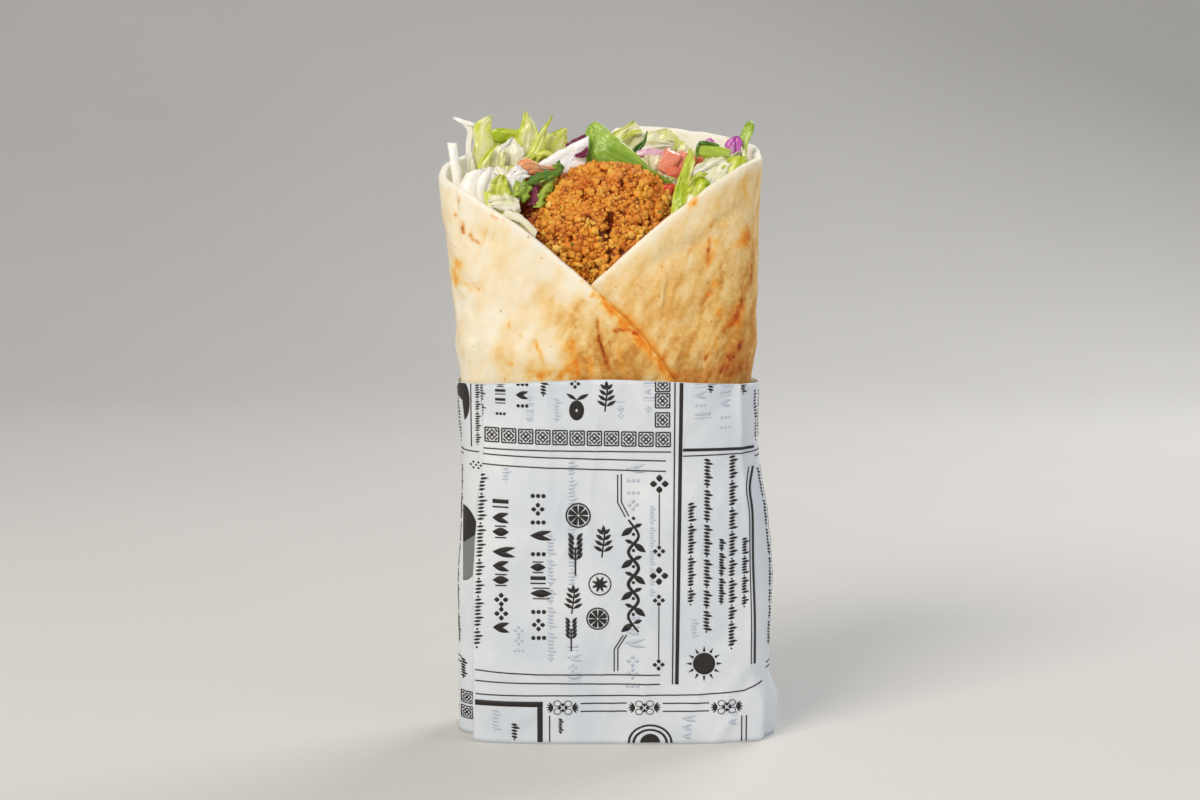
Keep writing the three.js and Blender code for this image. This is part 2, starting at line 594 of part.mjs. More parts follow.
const PIECES = [
  { name: "falafel_front", colour: "#b5702c", make: (grow) => crustedBall(
    { at: [FALAFEL.x, FALAFEL.y, FALAFEL.z],
      half: [FALAFEL.radius, FALAFEL.halfDepth, FALAFEL.radius], seed: 2 }, grow) },
  { name: "falafel_left", colour: "#8a4a22", make: (grow) => chunk(
    { at: [-19.2, -4, 143], half: [9, 9.8, 11.8], seed: 4, rough: 0.06, wave: 3, detail: 3 }, grow) },
  { name: "tomato_left", colour: "#e9703e", make: (grow) => chunk(
    { at: [-20.2, -8.4, 160.2], half: [5.4, 2.8, 2.7], turn: [0, 0.1, 0], seed: 1, rough: 0.1,
      detail: 2 }, grow) },
  { name: "tomato_right", colour: "#e2604e", make: (grow) => chunk(
    { at: [18.2, -7, 161.6], half: [5.2, 4.2, 4.6], seed: 7, rough: 0.15 }, grow) },
  { name: "tomato_right_small", colour: "#e2604e", make: (grow) => chunk(
    { at: [24.9, -4.6, 162.4], half: [2.1, 2.2, 2.6], seed: 9, rough: 0.12, detail: 2 }, grow) },
  { name: "tomato_low", colour: "#c9503a", make: (grow) => chunk(
    { at: [16.6, -11, 154.8], half: [3.0, 3.2, 2.8], seed: 11, rough: 0.12, detail: 2 }, grow) },
  { name: "cucumber", colour: "#a5c050", make: (grow) => chunk(
    { at: [29.2, -5, 165.4], half: [4.9, 1.8, 2.8], turn: [0, 0.1, 0], seed: 12, rough: 0.05,
      detail: 2 }, grow) },
  { name: "red_cabbage_rib", colour: "#efe9ee", make: (grow) => blade(
    { path: [[-19.4, -6.4, 160.4], [-12.4, -5.8, 163], [-6, -4.8, 167]], wide: 5.6, thick: 2.6,
      root: 0.6, tip: 0.8, face: [0, -1, 0.1] }, grow) },
  { name: "green_leaf", colour: "#86ab2c", make: (grow) => blade(
    { path: [[-4.8, -2, 173.6], [-3, -1, 167], [5, -1, 163], [16.6, -5, 157]], wide: 9.6,
      thick: 0.8, root: 0.3, tip: 0.15, cup: 0.08, wavy: 0.4, face: [0.1, -1, 0.1] }, grow) },
  { name: "dark_leaf", colour: "#3f6b24", make: (grow) => blade(
    { path: [[6.8, 4, 163], [9, 4.4, 166.6], [10.9, 5, 171.2]], wide: 3.6, thick: 0.8, root: 0.9,
      face: [0, -1, 0] }, grow) },
  { name: "parsley_left", colour: "#3f7a26", make: (grow) => blade(
    { path: [[-27.4, -14.5, 151.6], [-21, -13.5, 155.6], [-13.2, -12, 159.4]], wide: 5.6,
      thick: 1.0, root: 0.7, tip: 0.4, wavy: 0.9, face: [0, -1, 0.4] }, grow) },
  { name: "parsley_stalk", colour: "#9dbb3c", make: (grow) => blade(
    { path: [[38.2, -1, 158], [38.2, -0.5, 166], [40.2, 0, 174.4]], wide: 3.2, thick: 1.0,
      root: 0.4, tip: 0.4, face: [0, -1, 0] }, grow) },
  { name: "onion_right", colour: "#b84ca0", make: (grow) => blade(
    { path: [[35.6, -2.5, 162], [35.2, -2.2, 166], [35.4, -2, 169.8]], wide: 4.4, thick: 1.6,
      root: 0.4, tip: 0.4, cup: 0.12, face: [0, -1, 0] }, grow) },
  { name: "onion_middle", colour: "#c67cc0", make: (grow) => blade(
    { path: [[28.6, 0, 163.6], [28.4, 0.6, 166.4], [28.2, 1, 169.2]], wide: 3.8, thick: 1.4,
      root: 0.9, tip: 0.4, face: [0, -1, 0] }, grow) },
  { name: "onion_pink", colour: "#d6a6c4", make: (grow) => blade(
    { path: [[7.4, -1.6, 165], [11.2, -2, 165.1], [15.2, -2.6, 165.3]], wide: 2, thick: 1.4,
      root: 0.8, tip: 0.8, face: [0, -1, 0] }, grow) },
  { name: "onion_dark", colour: "#8a2840", make: (grow) => blade(
    { path: [[-20.7, -13.2, 150.4], [-20.7, -13, 153.4], [-20.7, -12.8, 156.4]], wide: 2.6,
      thick: 1.4, root: 0.9, tip: 0.9, face: [0, -1, 0] }, grow) },
];

// ---- Assembly -----------------------------------------------------------------------------

const wrap = new THREE.Group();

function addPart(name, solid, colour, roughness) {
  const material = new THREE.MeshStandardMaterial({ color: colour, roughness, metalness: 0 });
  const mesh = new THREE.Mesh(geometryFrom(solid), material);
  mesh.name = name;
  wrap.add(mesh);
}

addPart("paper_sleeve", makePaperSleeve(), "#e8eaee", 0.8);
addPart("flatbread", makeFlatbread(), "#f2dfba", 0.9);

// Each piece gives way to those placed before it, with the clearance all round.
let taken = solidFrom(breadSheet(BREAD_FLOOR, GAP));
for (const { name, colour, make } of PIECES) {
  addPart(name, largestBody(make(0).subtract(taken)), colour, 0.5);
  taken = taken.add(make(GAP));
}
addPart("salad", largestBody(makeSalad().subtract(taken)), "#c5d24b", 0.6);

export default wrap;
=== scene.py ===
# %% [markdown]
# # A falafel wrap in a paper sleeve
#
# This lesson builds a street-food wrap: a thin flatbread rolled round salad and falafel, with
# its lower part in a sleeve of printed paper. The solids come from a CAD model and give every
# place and size. Each soft or crumbly thing is then modelled again here as a finer mesh.

# %% Load the frame and keep its box
import math
import random

import bmesh
import bpy
import numpy as np
from mathutils import Euler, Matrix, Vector


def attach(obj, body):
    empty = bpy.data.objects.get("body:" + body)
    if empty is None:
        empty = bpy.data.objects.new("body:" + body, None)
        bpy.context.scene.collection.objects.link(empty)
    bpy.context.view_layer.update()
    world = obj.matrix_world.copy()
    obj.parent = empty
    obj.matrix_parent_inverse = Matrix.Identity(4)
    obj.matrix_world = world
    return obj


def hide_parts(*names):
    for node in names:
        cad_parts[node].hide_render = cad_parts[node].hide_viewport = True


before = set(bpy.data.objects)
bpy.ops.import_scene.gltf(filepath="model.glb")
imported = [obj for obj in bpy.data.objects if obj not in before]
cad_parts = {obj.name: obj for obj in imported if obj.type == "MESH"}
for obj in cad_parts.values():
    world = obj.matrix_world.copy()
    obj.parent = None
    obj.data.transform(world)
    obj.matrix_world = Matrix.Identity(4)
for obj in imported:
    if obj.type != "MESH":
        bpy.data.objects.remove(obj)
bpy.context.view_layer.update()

print("nodes:", sorted(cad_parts))

# %% [markdown]
# ## Small tools
#
# All shapes below are worked out in millimetres, as a maker would, and turned into metres only
# when a mesh is made. Colours are written as sRGB hex values, the numbers that a colour picker
# shows, but the renderer adds light up in linear values, so one function converts them.

# %% Colours
MM = 0.001


def linear(hex_colour):
    """An sRGB hex colour as linear red, green, blue and alpha."""
    channels = [int(hex_colour[i:i + 2], 16) / 255 for i in (1, 3, 5)]
    bent = [c / 12.92 if c <= 0.04045 else ((c + 0.055) / 1.055) ** 2.4 for c in channels]
    return (*bent, 1.0)


print("mid grey is", round(linear("#808080")[0], 3), "in linear light")


# %% Nodes and materials
def set_node(node, settings, **links):
    """Gives a node its settings and links.

    A setting names a property, an input, or the stops of a colour ramp, as (place, colour). A
    link names an input, with _ for a space, or its number after a _."""
    for key, value in settings.items():
        if key == "stops":
            elements = node.color_ramp.elements
            while len(elements) < len(value):
                elements.new(0.5)
            for element, (place, colour) in zip(elements, value):
                element.position, element.color = place, linear(colour)
        elif isinstance(key, int) or key in node.inputs:
            node.inputs[key].default_value = value
        else:
            setattr(node, key, value)
    for key, source in links.items():
        socket = int(key[1:]) if key[1:].isdigit() else key.replace("_", " ")
        node.id_data.links.new(source, node.inputs[socket])
    return node


def add_node(tree, kind, settings=None, **links):
    """Adds a shader node with its settings and links."""
    return set_node(tree.nodes.new(kind), settings or {}, **links)


def new_material(name):
    """A new material, its node tree and its main surface shader."""
    material = bpy.data.materials.new(name)
    material.use_nodes = True
    tree = material.node_tree
    return material, tree, tree.nodes["Principled BSDF"]


# %% Meshes
def mesh_object(name, points, faces, material, slot, nodes):
    """A smooth mesh from points in millimetres, on the part's one body, in place of solids."""
    mesh = bpy.data.meshes.new(name)
    points = np.asarray(points, float) * MM
    faces = np.asarray(faces, np.int64)
    mesh.vertices.add(len(points))
    mesh.vertices.foreach_set("co", points.ravel())
    corners = faces.shape[1]
    mesh.loops.add(faces.size)
    mesh.loops.foreach_set("vertex_index", faces.ravel().astype(np.int32))
    mesh.polygons.add(len(faces))
    mesh.polygons.foreach_set("loop_start", np.arange(0, faces.size, corners, dtype=np.int32))
    mesh.update(calc_edges=True)
    mesh.validate()
    mesh.polygons.foreach_set("use_smooth", np.ones(len(mesh.polygons), bool))
    mesh.materials.append(material)
    piece = bpy.data.objects.new(name, mesh)
    bpy.context.scene.collection.objects.link(piece)
    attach(piece, "root")
    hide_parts(*nodes)
    return piece


def paint(piece, name, values):
    """Stores one number for each vertex, for a material to read."""
    layer = piece.data.attributes.new(name, "FLOAT", "POINT")
    layer.data.foreach_set("value", np.asarray(values, np.float32))


def grid_faces(rows, columns, offset=0):
    """Quads of a grid of rows by columns of points."""
    row, column = np.mgrid[0:rows - 1, 0:columns - 1]
    corner = (row * columns + column).ravel() + offset
    return np.stack([corner, corner + 1, corner + columns + 1, corner + columns], axis=1)


def shell(front, back):
    """A closed sheet from two grids of points, both split alike. Returns points and quads."""
    rows, columns = front.shape[:2]
    size = rows * columns
    faces = [grid_faces(rows, columns), grid_faces(rows, columns, size)[:, ::-1]]
    index = np.arange(size).reshape(rows, columns)
    for edge in (index[0, :], index[::-1, 0], index[-1, ::-1], index[:, -1]):
        a, b = edge[:-1], edge[1:]
        faces.append(np.stack([b, a, a + size, b + size], axis=1))
    points = np.concatenate([front.reshape(-1, 3), back.reshape(-1, 3)])
    return points, np.concatenate(faces)


def joined(meshes):
    """Several meshes as one, each given as its points and faces."""
    starts = np.cumsum([0] + [len(points) for points, _ in meshes])
    return (np.concatenate([points for points, _ in meshes]),
            np.concatenate([faces + start for (_, faces), start in zip(meshes, starts)]))


# %% [markdown]
# ## Noise in plain arithmetic
#
# Bread blisters, paper creases and fried crumbs are all uneven in their own way. Two kinds of
# noise make them: a smooth one, which is a lattice of random heights blended together, and a
# cellular one, which gives each place its distance to the nearest of many scattered seeds. Both
# are worked out from whole numbers alone, so every run gives the same shapes.

# %% Smooth noise
def hashed(x, y, z, seed):
    """A repeatable random number from 0 to 1 for each lattice point."""
    mixed = (x * 374761393 + y * 668265263 + z * 1274126177 + seed * 974711) & 0x7FFFFFFF
    mixed = ((mixed ^ (mixed >> 13)) * 1274126177) & 0x7FFFFFFF
    mixed = ((mixed ^ (mixed >> 16)) * 668265263) & 0x7FFFFFFF
    return (mixed ^ (mixed >> 15)) / 0x7FFFFFFF


def smooth_noise(points, seed=0):
    """Smooth noise from -1 to 1 with a wave of about two units."""
    base = np.floor(points).astype(np.int64)
    part = points - base
    blend = part * part * (3 - 2 * part)
    total = np.zeros(points.shape[:-1])
    for dx in (0, 1):
        for dy in (0, 1):
            for dz in (0, 1):
                weight = (np.abs(1 - dx - blend[..., 0]) * np.abs(1 - dy - blend[..., 1])
                          * np.abs(1 - dz - blend[..., 2]))
                total += weight * hashed(base[..., 0] + dx, base[..., 1] + dy,
                                         base[..., 2] + dz, seed)
    return 2 * total - 1


def spot(*parts):
    """Places for noise from their three coordinates, where a plain number stands for all."""
    return np.stack(np.broadcast_arrays(*parts), -1)


def layered_noise(points, octaves, seed=0):
    """Smooth noise with finer and fainter layers added."""
    total = np.zeros(points.shape[:-1])
    for octave in range(octaves):
        total += smooth_noise(points * 2 ** octave, seed + octave) / 2 ** octave
    return total


print("three lattice points:", [round(float(hashed(n, 0, 0, 1)), 2) for n in range(3)])


# %% Cells, soft steps and curves
def cells(points, seed=0):
    """Distance to the nearest seed of unit cells, and that seed's own number from 0 to 1."""
    base = np.floor(points).astype(np.int64)
    nearest = np.full(points.shape[:-1], np.inf)
    number = np.zeros(points.shape[:-1])
    for dx in (-1, 0, 1):
        for dy in (-1, 0, 1):
            for dz in (-1, 0, 1):
                x, y, z = base[..., 0] + dx, base[..., 1] + dy, base[..., 2] + dz
                away = np.sqrt(
                    (x + hashed(x, y, z, seed) - points[..., 0]) ** 2
                    + (y + hashed(x, y, z, seed + 1) - points[..., 1]) ** 2
                    + (z + hashed(x, y, z, seed + 2) - points[..., 2]) ** 2)
                closer = away < nearest
                number = np.where(closer, hashed(x, y, z, seed + 3), number)
                nearest = np.where(closer, away, nearest)
    return nearest, number


def smooth_step(value, low, high):
    """Rises smoothly from 0 at low to 1 at high."""
    share = np.clip((value - low) / (high - low), 0, 1)
    return share * share * (3 - 2 * share)


def bump(value, centre, width):
    """A soft bell of height 1 round a centre."""
    return np.exp(-((value - centre) / width) ** 2)


def curve_through(path, count):
    """Evenly spread points on a smooth curve through a path, and the way it runs."""
    path = np.asarray(path, float)
    padded = np.concatenate([[2 * path[0] - path[1]], path, [2 * path[-1] - path[-2]]])
    t = np.linspace(0, len(path) - 1, count)
    i = np.minimum(t.astype(int), len(path) - 2)
    f = (t - i)[:, None]
    a, b, c, d = padded[i], padded[i + 1], padded[i + 2], padded[i + 3]
    points = 0.5 * (2 * b + (c - a) * f + (2 * a - 5 * b + 4 * c - d) * f ** 2
                    + (3 * b - a - 3 * c + d) * f ** 3)
    tangent = np.gradient(points, axis=0)
    return points, tangent / np.linalg.norm(tangent, axis=1, keepdims=True)


print("half way up a soft step:", smooth_step(0.5, 0, 1))

# %% [markdown]
# ## The roll's outline
#
# Bread and paper are both sheets wound round the same slightly flattened roll. One function
# gives a place on that roll: walk counts quarters of the girth to the left from the middle of
# the back, so 1 is the left side, 2 or -2 the front and -1 the right side. The cross-section is
# a superellipse, a curve between an ellipse and a rounded box. It is sampled once into a table
# for the inner wrap and once for the outer paper panel, and then read by interpolation.

# %% Stations of the roll
GIRTH = np.array([
    # height, left half width, right half width, half depth
    (0, 44.0, 44.6, 20.6),
    (31, 43.8, 45.9, 22.0),
    (47, 43.6, 46.6, 22.8),
    (63, 42.6, 45.2, 23.4),
    (80, 42.6, 42.8, 24.0),
    (102, 44.0, 42.3, 25.0),
    (125, 44.9, 43.5, 25.4),
    (147, 47.0, 43.9, 25.8),
    (159, 48.3, 44.1, 26.0),
    (176, 48.0, 43.4, 26.0),
])
QUARTER = 60.0  # a quarter of the girth
GAP = 0.3  # between two layers
BREAD_THICK = 2.0
PAPER_LAYER = 0.6
PAPER_TOP, PAPER_SIDE_DIP = 103.3, 2.4
# squareness of the cross-section: 2 is an ellipse, and more is boxier
INNER_CORNERS, INNER_AT_FOOT = 2.6, 2.0
PANEL_CORNERS, PANEL_AT_FOOT = 2.8, 4.4
FOOT_REACH = 100.0  # how high up the foot's own shape is felt


def along(places, values, at):
    """A smooth curve through stations, read at any place."""
    at = np.clip(at, places[0], places[-1])
    index = np.clip(np.searchsorted(places, at) - 1, 0, len(places) - 2)
    before = np.maximum(np.arange(len(places)) - 1, 0)
    after = np.minimum(np.arange(len(places)) + 1, len(places) - 1)
    slopes = (values[after] - values[before]) / (places[after] - places[before])
    width = places[index + 1] - places[index]
    t = (at - places[index]) / width
    blend = t * t * (3 - 2 * t)
    rise = values[index] + blend * (values[index + 1] - values[index])
    return (rise + slopes[index] * width * t * (1 - t) ** 2
            + slopes[index + 1] * width * t * t * (t - 1))


print("stations of the roll:", len(GIRTH))


# %% Sample the outline once
def squareness(kind, walk, z):
    """The inner wrap is rounder at the front of its foot, and the paper's panel boxier."""
    to_foot = 1 - smooth_step(z, 0, FOOT_REACH)
    if kind == "panel":
        return PANEL_CORNERS + (PANEL_AT_FOOT - PANEL_CORNERS) * to_foot
    front = smooth_step(np.abs(walk), 1, 1.3)
    return INNER_CORNERS - (INNER_CORNERS - INNER_AT_FOOT) * to_foot * front


TABLE_STEP = 2.0
TABLE_HEIGHTS = np.arange(-2, 180, TABLE_STEP)
TABLE_WALKS = np.linspace(-2, 2, 801)
ARC = np.linspace(0, math.pi / 2, 160)
NUDGE = 0.02  # half the walk over which the outline's direction is measured


def sample_roll(kind):
    """The roll's outline at every height and walk of the table."""
    z, walk = np.meshgrid(TABLE_HEIGHTS, TABLE_WALKS, indexing="ij")
    left = along(GIRTH[:, 0], GIRTH[:, 1], z)
    right = along(GIRTH[:, 0], GIRTH[:, 2], z)
    depth = along(GIRTH[:, 0], GIRTH[:, 3], z)
    power = 2 / squareness(kind, walk, z)
    width = np.where(walk > 0, left, right)
    from_back = np.abs(walk)
    share = np.where(from_back < 1, from_back, 2 - from_back)
    place = np.zeros(z.shape + (2,))
    for row in range(len(TABLE_HEIGHTS)):
        across = width[row, :, None] * np.sin(ARC) ** power[row, :, None]
        deep = depth[row, :, None] * np.clip(np.cos(ARC), 0, 1) ** power[row, :, None]
        steps = np.hypot(np.diff(across, axis=1), np.diff(deep, axis=1))
        length = np.concatenate([np.zeros((len(steps), 1)), np.cumsum(steps, axis=1)], axis=1)
        wanted = share[row] * length[:, -1]
        low = np.clip((length < wanted[:, None]).sum(axis=1) - 1, 0, len(ARC) - 2)
        pick = np.arange(len(low))
        part = (wanted - length[pick, low]) / (length[pick, low + 1] - length[pick, low])
        x = across[pick, low] + part * (across[pick, low + 1] - across[pick, low])
        y = deep[pick, low] + part * (deep[pick, low + 1] - deep[pick, low])
        place[row, :, 0] = -np.sign(walk[row]) * x
        place[row, :, 1] = np.where(from_back[row] < 1, y, -y)
    return place


ROLL = {kind: sample_roll(kind) for kind in ("inner", "panel")}


def read_table(table, walk, z):
    """The table's value at any walk and height, blended between its samples."""
    walk = (walk + 2) % 4 - 2
    column = (walk - TABLE_WALKS[0]) / (TABLE_WALKS[1] - TABLE_WALKS[0])
    row = np.clip((z - TABLE_HEIGHTS[0]) / TABLE_STEP, 0, len(TABLE_HEIGHTS) - 1.001)
    c = np.clip(np.floor(column).astype(int), 0, len(TABLE_WALKS) - 2)
    r = np.floor(row).astype(int)
    u, v = (column - c)[..., None], (row - r)[..., None]
    return ((1 - v) * ((1 - u) * table[r, c] + u * table[r, c + 1])
            + v * ((1 - u) * table[r + 1, c] + u * table[r + 1, c + 1]))


def roll_point(kind, walk, z):
    """A place on the roll's outline and the direction out of it."""
    table = ROLL[kind]
    place = read_table(table, walk, z)
    tangent = read_table(table, walk + NUDGE, z) - read_table(table, walk - NUDGE, z)
    tangent /= np.linalg.norm(tangent, axis=-1, keepdims=True)
    out = np.stack([tangent[..., 1], -tangent[..., 0], np.zeros_like(z)], axis=-1)
    return np.concatenate([place, z[..., None]], axis=-1), out


print("roll is", round(GIRTH[8, 1] + GIRTH[8, 2]), "mm wide at the rim")

# %% [markdown]
# ## Camera
#
# The camera stands a little above the wrap and looks six degrees down with a 66 mm lens, as
# someone across a small table sees it, from about 60 cm away. The picture is 1200 by 800, so its
# width of 36 mm on the sensor gives a focal length of 2200 pixels.

# %% Place the camera
LENS = 66.0
PITCH = math.radians(6)
CAMERA = (-2.57, -625.2, 160.7)

camera_data = bpy.data.cameras.new("camera")
camera_data.lens = LENS
camera_data.sensor_width = 36.0
camera_data.clip_start = 0.01
camera = bpy.data.objects.new("camera", camera_data)
camera.location = Vector(CAMERA) * MM
camera.rotation_euler = (math.pi / 2 - PITCH, 0, 0)
bpy.context.scene.collection.objects.link(camera)
bpy.context.scene.camera = camera
print("camera at", CAMERA, "mm")

# %% [markdown]
# ## Flatbread
#
# The bread is one thin round of soft wheat dough, rolled so that its left flap lies over its
# right one. A cloth simulation could roll it, but its real outline is known, so it is modelled
# directly: one grid wound round the outline, with the height of its edge given round the girth.
# Five rows of points round the cut edge, and smooth noise gives the dough its slack waves.

# %% The edge of the bread
LEFT_RIM = np.array([
    # length from the middle of the back, height
    (0, 170.6), (2.5, 168.6), (14, 167.8), (28, 166.6), (47, 164.0), (63, 159.3), (77, 155.4),
    (92.5, 146.8), (107, 135.6), (119, 125.3), (134, 110.3), (139, 103.6), (145, 92.0)])
RIGHT_RIM = np.array([
    (0, 170.6), (2.5, 172.8), (26, 171.8), (46, 168.5), (62, 164.6), (76, 162.0), (93, 154.2),
    (110, 142.1), (125, 129.0), (138, 113.5)])
BREAD_FLOOR = 1.2
BREAD_SHARE = {"left": 2.42, "right": 2.3}  # how many quarters the sheet reaches round each side


def rim_height(walk):
    """The height of the bread's edge."""
    s = np.abs(walk) * QUARTER
    left = along(LEFT_RIM[:, 0], LEFT_RIM[:, 1], s)
    right = along(RIGHT_RIM[:, 0], RIGHT_RIM[:, 1], s)
    return np.where(walk > 0, left, right)


def bread_inset(walk, z):
    """How far the bread's outer face lies inside the roll's outline."""
    under_paper = 2 * (PAPER_LAYER + GAP)
    squeezed = under_paper * (1 - smooth_step(z, PAPER_TOP - 1, PAPER_TOP + 9))
    tucked = (BREAD_THICK + GAP) * smooth_step(-walk, 1.05, 1.6)
    return squeezed + tucked


print("the flaps end", LEFT_RIM[-1, 1], "and", RIGHT_RIM[-1, 1], "mm up")


# %% Wind the sheet
FRONT_COLUMNS, BACK_COLUMNS, BACK_SHARE = 205, 96, 0.9
LOW_ROWS, HIGH_ROWS, EDGE_ROWS = 5, 64, 5
UNDER_PAPER = 96.0  # below this the sleeve hides the bread, so rows are few


def bread_grid():
    """The bread's points as one grid that runs up its outside, over its edge and down inside.

    The columns are closer on the front, where the finest marks are."""
    walk = np.concatenate([
        np.linspace(-BREAD_SHARE["right"], -BACK_SHARE, FRONT_COLUMNS, endpoint=False),
        np.linspace(-BACK_SHARE, BACK_SHARE, BACK_COLUMNS, endpoint=False),
        np.linspace(BACK_SHARE, BREAD_SHARE["left"], FRONT_COLUMNS)])
    rim = rim_height(walk) + 0.35 * smooth_noise(spot(walk * 14, 0, 0), 5)
    split = np.minimum(UNDER_PAPER, rim - 3)
    half = BREAD_THICK / 2
    up_low = BREAD_FLOOR + np.linspace(0, 1, LOW_ROWS)[:, None] * (split - BREAD_FLOOR)
    up_high = split + np.linspace(0, 1, HIGH_ROWS + 1)[1:, None] * (rim - half - split)
    heights = np.concatenate([up_low, up_high])
    turn = np.linspace(0, math.pi, EDGE_ROWS + 2)[1:-1, None]
    over = rim - half + half * np.sin(turn)
    depth = np.concatenate([0 * heights, (1 - np.cos(turn)) / 2 + 0 * over, 0 * heights + 1])
    heights = np.concatenate([heights, over, heights[::-1]])
    return np.repeat(walk[None], len(heights), 0), heights, depth


def strokes(x, z, rows):
    """How strongly soft strokes cover each place. Each runs from one point to another."""
    cover = np.zeros_like(x)
    for x0, z0, x1, z1, width, strength in rows:
        run_x, run_z = x1 - x0, z1 - z0
        share = ((x - x0) * run_x + (z - z0) * run_z) / (run_x ** 2 + run_z ** 2 + 1e-6)
        share = np.clip(share, 0, 1)
        away = np.hypot(x - x0 - share * run_x, z - z0 - share * run_z)
        cover = np.maximum(cover, strength * np.exp(-(away / width) ** 2))
    return cover


# %% Slack waves, dents and folds
DENTS = [
    # from x, z to x, z, half width, depth; all in millimetres, seen from the front
    (12, 133.5, 19.4, 138.1, 2.6, 0.9), (19.4, 138.1, 27.5, 141, 2.2, 0.7),
    (31.7, 146.6, 38.6, 149.9, 1.6, 0.6), (16.6, 130, 15.4, 122.3, 1.2, 0.4),
    (-3.3, 120, -1.9, 114.5, 0.6, 0.5), (-1.9, 114.5, -0.3, 105.5, 0.6, 0.5),
    (24, 118, 30, 128, 3, 0.5), (33, 108, 36.5, 119, 2, 0.5), (21, 106, 22.5, 114, 1.3, 0.4),
    (27, 105, 27.5, 112, 1.2, 0.35), (-40.5, 130, -37, 127.6, 1.2, 0.35),
    (-18, 126.5, -12.5, 121, 3, 0.4), (-36, 143, -31.5, 141, 2.6, 0.5),
    (-37, 106, -37.5, 121, 2, 0.4), (-29, 121, -20, 123.5, 2.4, 0.35),
    (-43.7, 155, -42.6, 140, 0.7, 0.5)]
RIDGES = [
    (15.7, 130.5, 14.6, 122.3, 0.45, 0.35), (14.6, 122.3, 13.2, 113, 0.4, 0.3),
    (-2.2, 119, 0.6, 108.7, 0.6, 0.35), (0.6, 108.7, 1.9, 103.6, 0.7, 0.4),
    (-31, 150, -20, 141.4, 1, 0.2)]


def dough_waves(walk, z):
    """How far the slack sheet leaves its outline in millimetres, fading out at the paper."""
    s = walk * QUARTER
    place = spot(s / 26, z / 38, 0)
    slanted = spot((0.8 * s + 0.6 * z) / 7.5, (0.8 * z - 0.6 * s) / 15, 3)
    free = smooth_step(z, PAPER_TOP, PAPER_TOP + 14)
    near = smooth_step(z, PAPER_TOP - 1, PAPER_TOP + 5)
    lumps = 0.34 * smooth_noise(slanted, 33) + 0.16 * smooth_noise(2.1 * slanted, 35)
    return (-1.0 + 0.9 * layered_noise(place, 2, 31)) * free + lumps * near


# %% Roll the bread up
walk, height, depth = bread_grid()
place, out = roll_point("inner", walk, height)
facing = smooth_step(place[..., 1], 8, -4)  # 1 on the front, 0 on the back
pressed = strokes(place[..., 0], height, DENTS) - strokes(place[..., 0], height, RIDGES)
inset = bread_inset(walk, height) + depth * BREAD_THICK
skin = spot(walk * QUARTER, height, 40 * depth)
blister = (0.09 * layered_noise(skin / 4.0, 3, 7)
           + 0.14 * np.maximum(0, smooth_noise(skin / 2.4, 9)))
uncovered = smooth_step(height, PAPER_TOP - 2, PAPER_TOP + 3)
relief = np.where(depth < 0.5, blister, -blister) * uncovered
shift = dough_waves(walk, height) - inset + relief - pressed * facing
bread_points = place + out * shift[..., None]
rows, columns = walk.shape
bread_faces = [grid_faces(rows, columns)]
index = np.arange(rows * columns).reshape(rows, columns)
for side in (0, -1):
    outer, inner = index[:rows // 2, side], index[::-1, side][:rows // 2]
    cap = np.stack([outer[:-1], outer[1:], inner[1:], inner[:-1]], axis=1)
    bread_faces.append(cap if side == 0 else cap[:, ::-1])
bottom = np.stack([index[0, 1:], index[0, :-1], index[-1, :-1], index[-1, 1:]], axis=1)
bread_faces.append(bottom)
print("bread:", rows, "rows by", columns, "columns")

# %% [markdown]
# ## Toast marks and the bread's finish
#
# Soft flatbread is cream with a slight translucence and a dull surface. Three things colour it.
# The griddle gives broad golden patches and small brown blister spots, and sauce and oil soak
# through as orange smears. Each large mark is a soft stroke between two points, given one by one,
# because each has its own place. Noise at the scale of the dough's bubbles, 1 to 6 mm, then
# breaks them up. The mesh keeps one number for each of the three, and a fourth for the pale
# dough of the inside and the edge, and the material mixes them.
# On the right flap the gold deepens to the right and foot, partly toast, partly painted shade.

# %% Where the griddle and the sauce marked it
BROWN_MARKS = [
    # from x, z to x, z, half width, strength
    (-3.2, 119.4, -1.9, 114.5, 0.45, 0.85), (-1.9, 114.5, -0.2, 105.8, 0.5, 0.8),
    (1.1, 116.2, 3.2, 117.2, 0.5, 0.7), (3.2, 117.2, 7.9, 115.6, 0.55, 0.6),
    (-40.9, 145.6, -40.5, 143.6, 0.5, 0.7), (-38.8, 142.6, -36.6, 140.4, 0.5, 0.6),
    (-41.9, 152.2, -41.7, 151.6, 0.45, 0.55), (-43.2, 148.6, -43, 147.6, 0.4, 0.5),
    (-32.4, 148.6, -29.3, 145.8, 0.3, 0.35), (29.6, 141.6, 28.9, 137.6, 0.55, 0.65),
    (28.9, 137.6, 28.2, 136, 0.9, 0.6), (24.8, 139.8, 24.8, 139.6, 0.4, 0.8),
    (23.9, 137.7, 23.1, 137.2, 0.4, 0.6), (29.7, 146, 29.5, 145, 0.5, 0.45),
    (38, 124.4, 36.2, 119.4, 0.9, 0.7), (36.2, 119.4, 33.6, 116.6, 0.8, 0.4),
    (37.9, 112.6, 36, 109.3, 1, 0.7), (28.5, 109.8, 28, 109, 0.6, 0.6),
    (15.8, 109.9, 15.4, 109.3, 0.8, 0.5), (39.2, 145.4, 40.4, 140, 0.45, 0.5),
    (40.4, 140, 41.2, 128, 0.6, 0.45), (20, 103.6, 25, 104.4, 1.8, 0.35),
    (28, 103.8, 39, 105.6, 2.6, 0.42), (27.9, 126.4, 27.1, 125.6, 0.7, 0.5),
    (33.6, 105.2, 34.6, 105.6, 1.2, 0.8)]
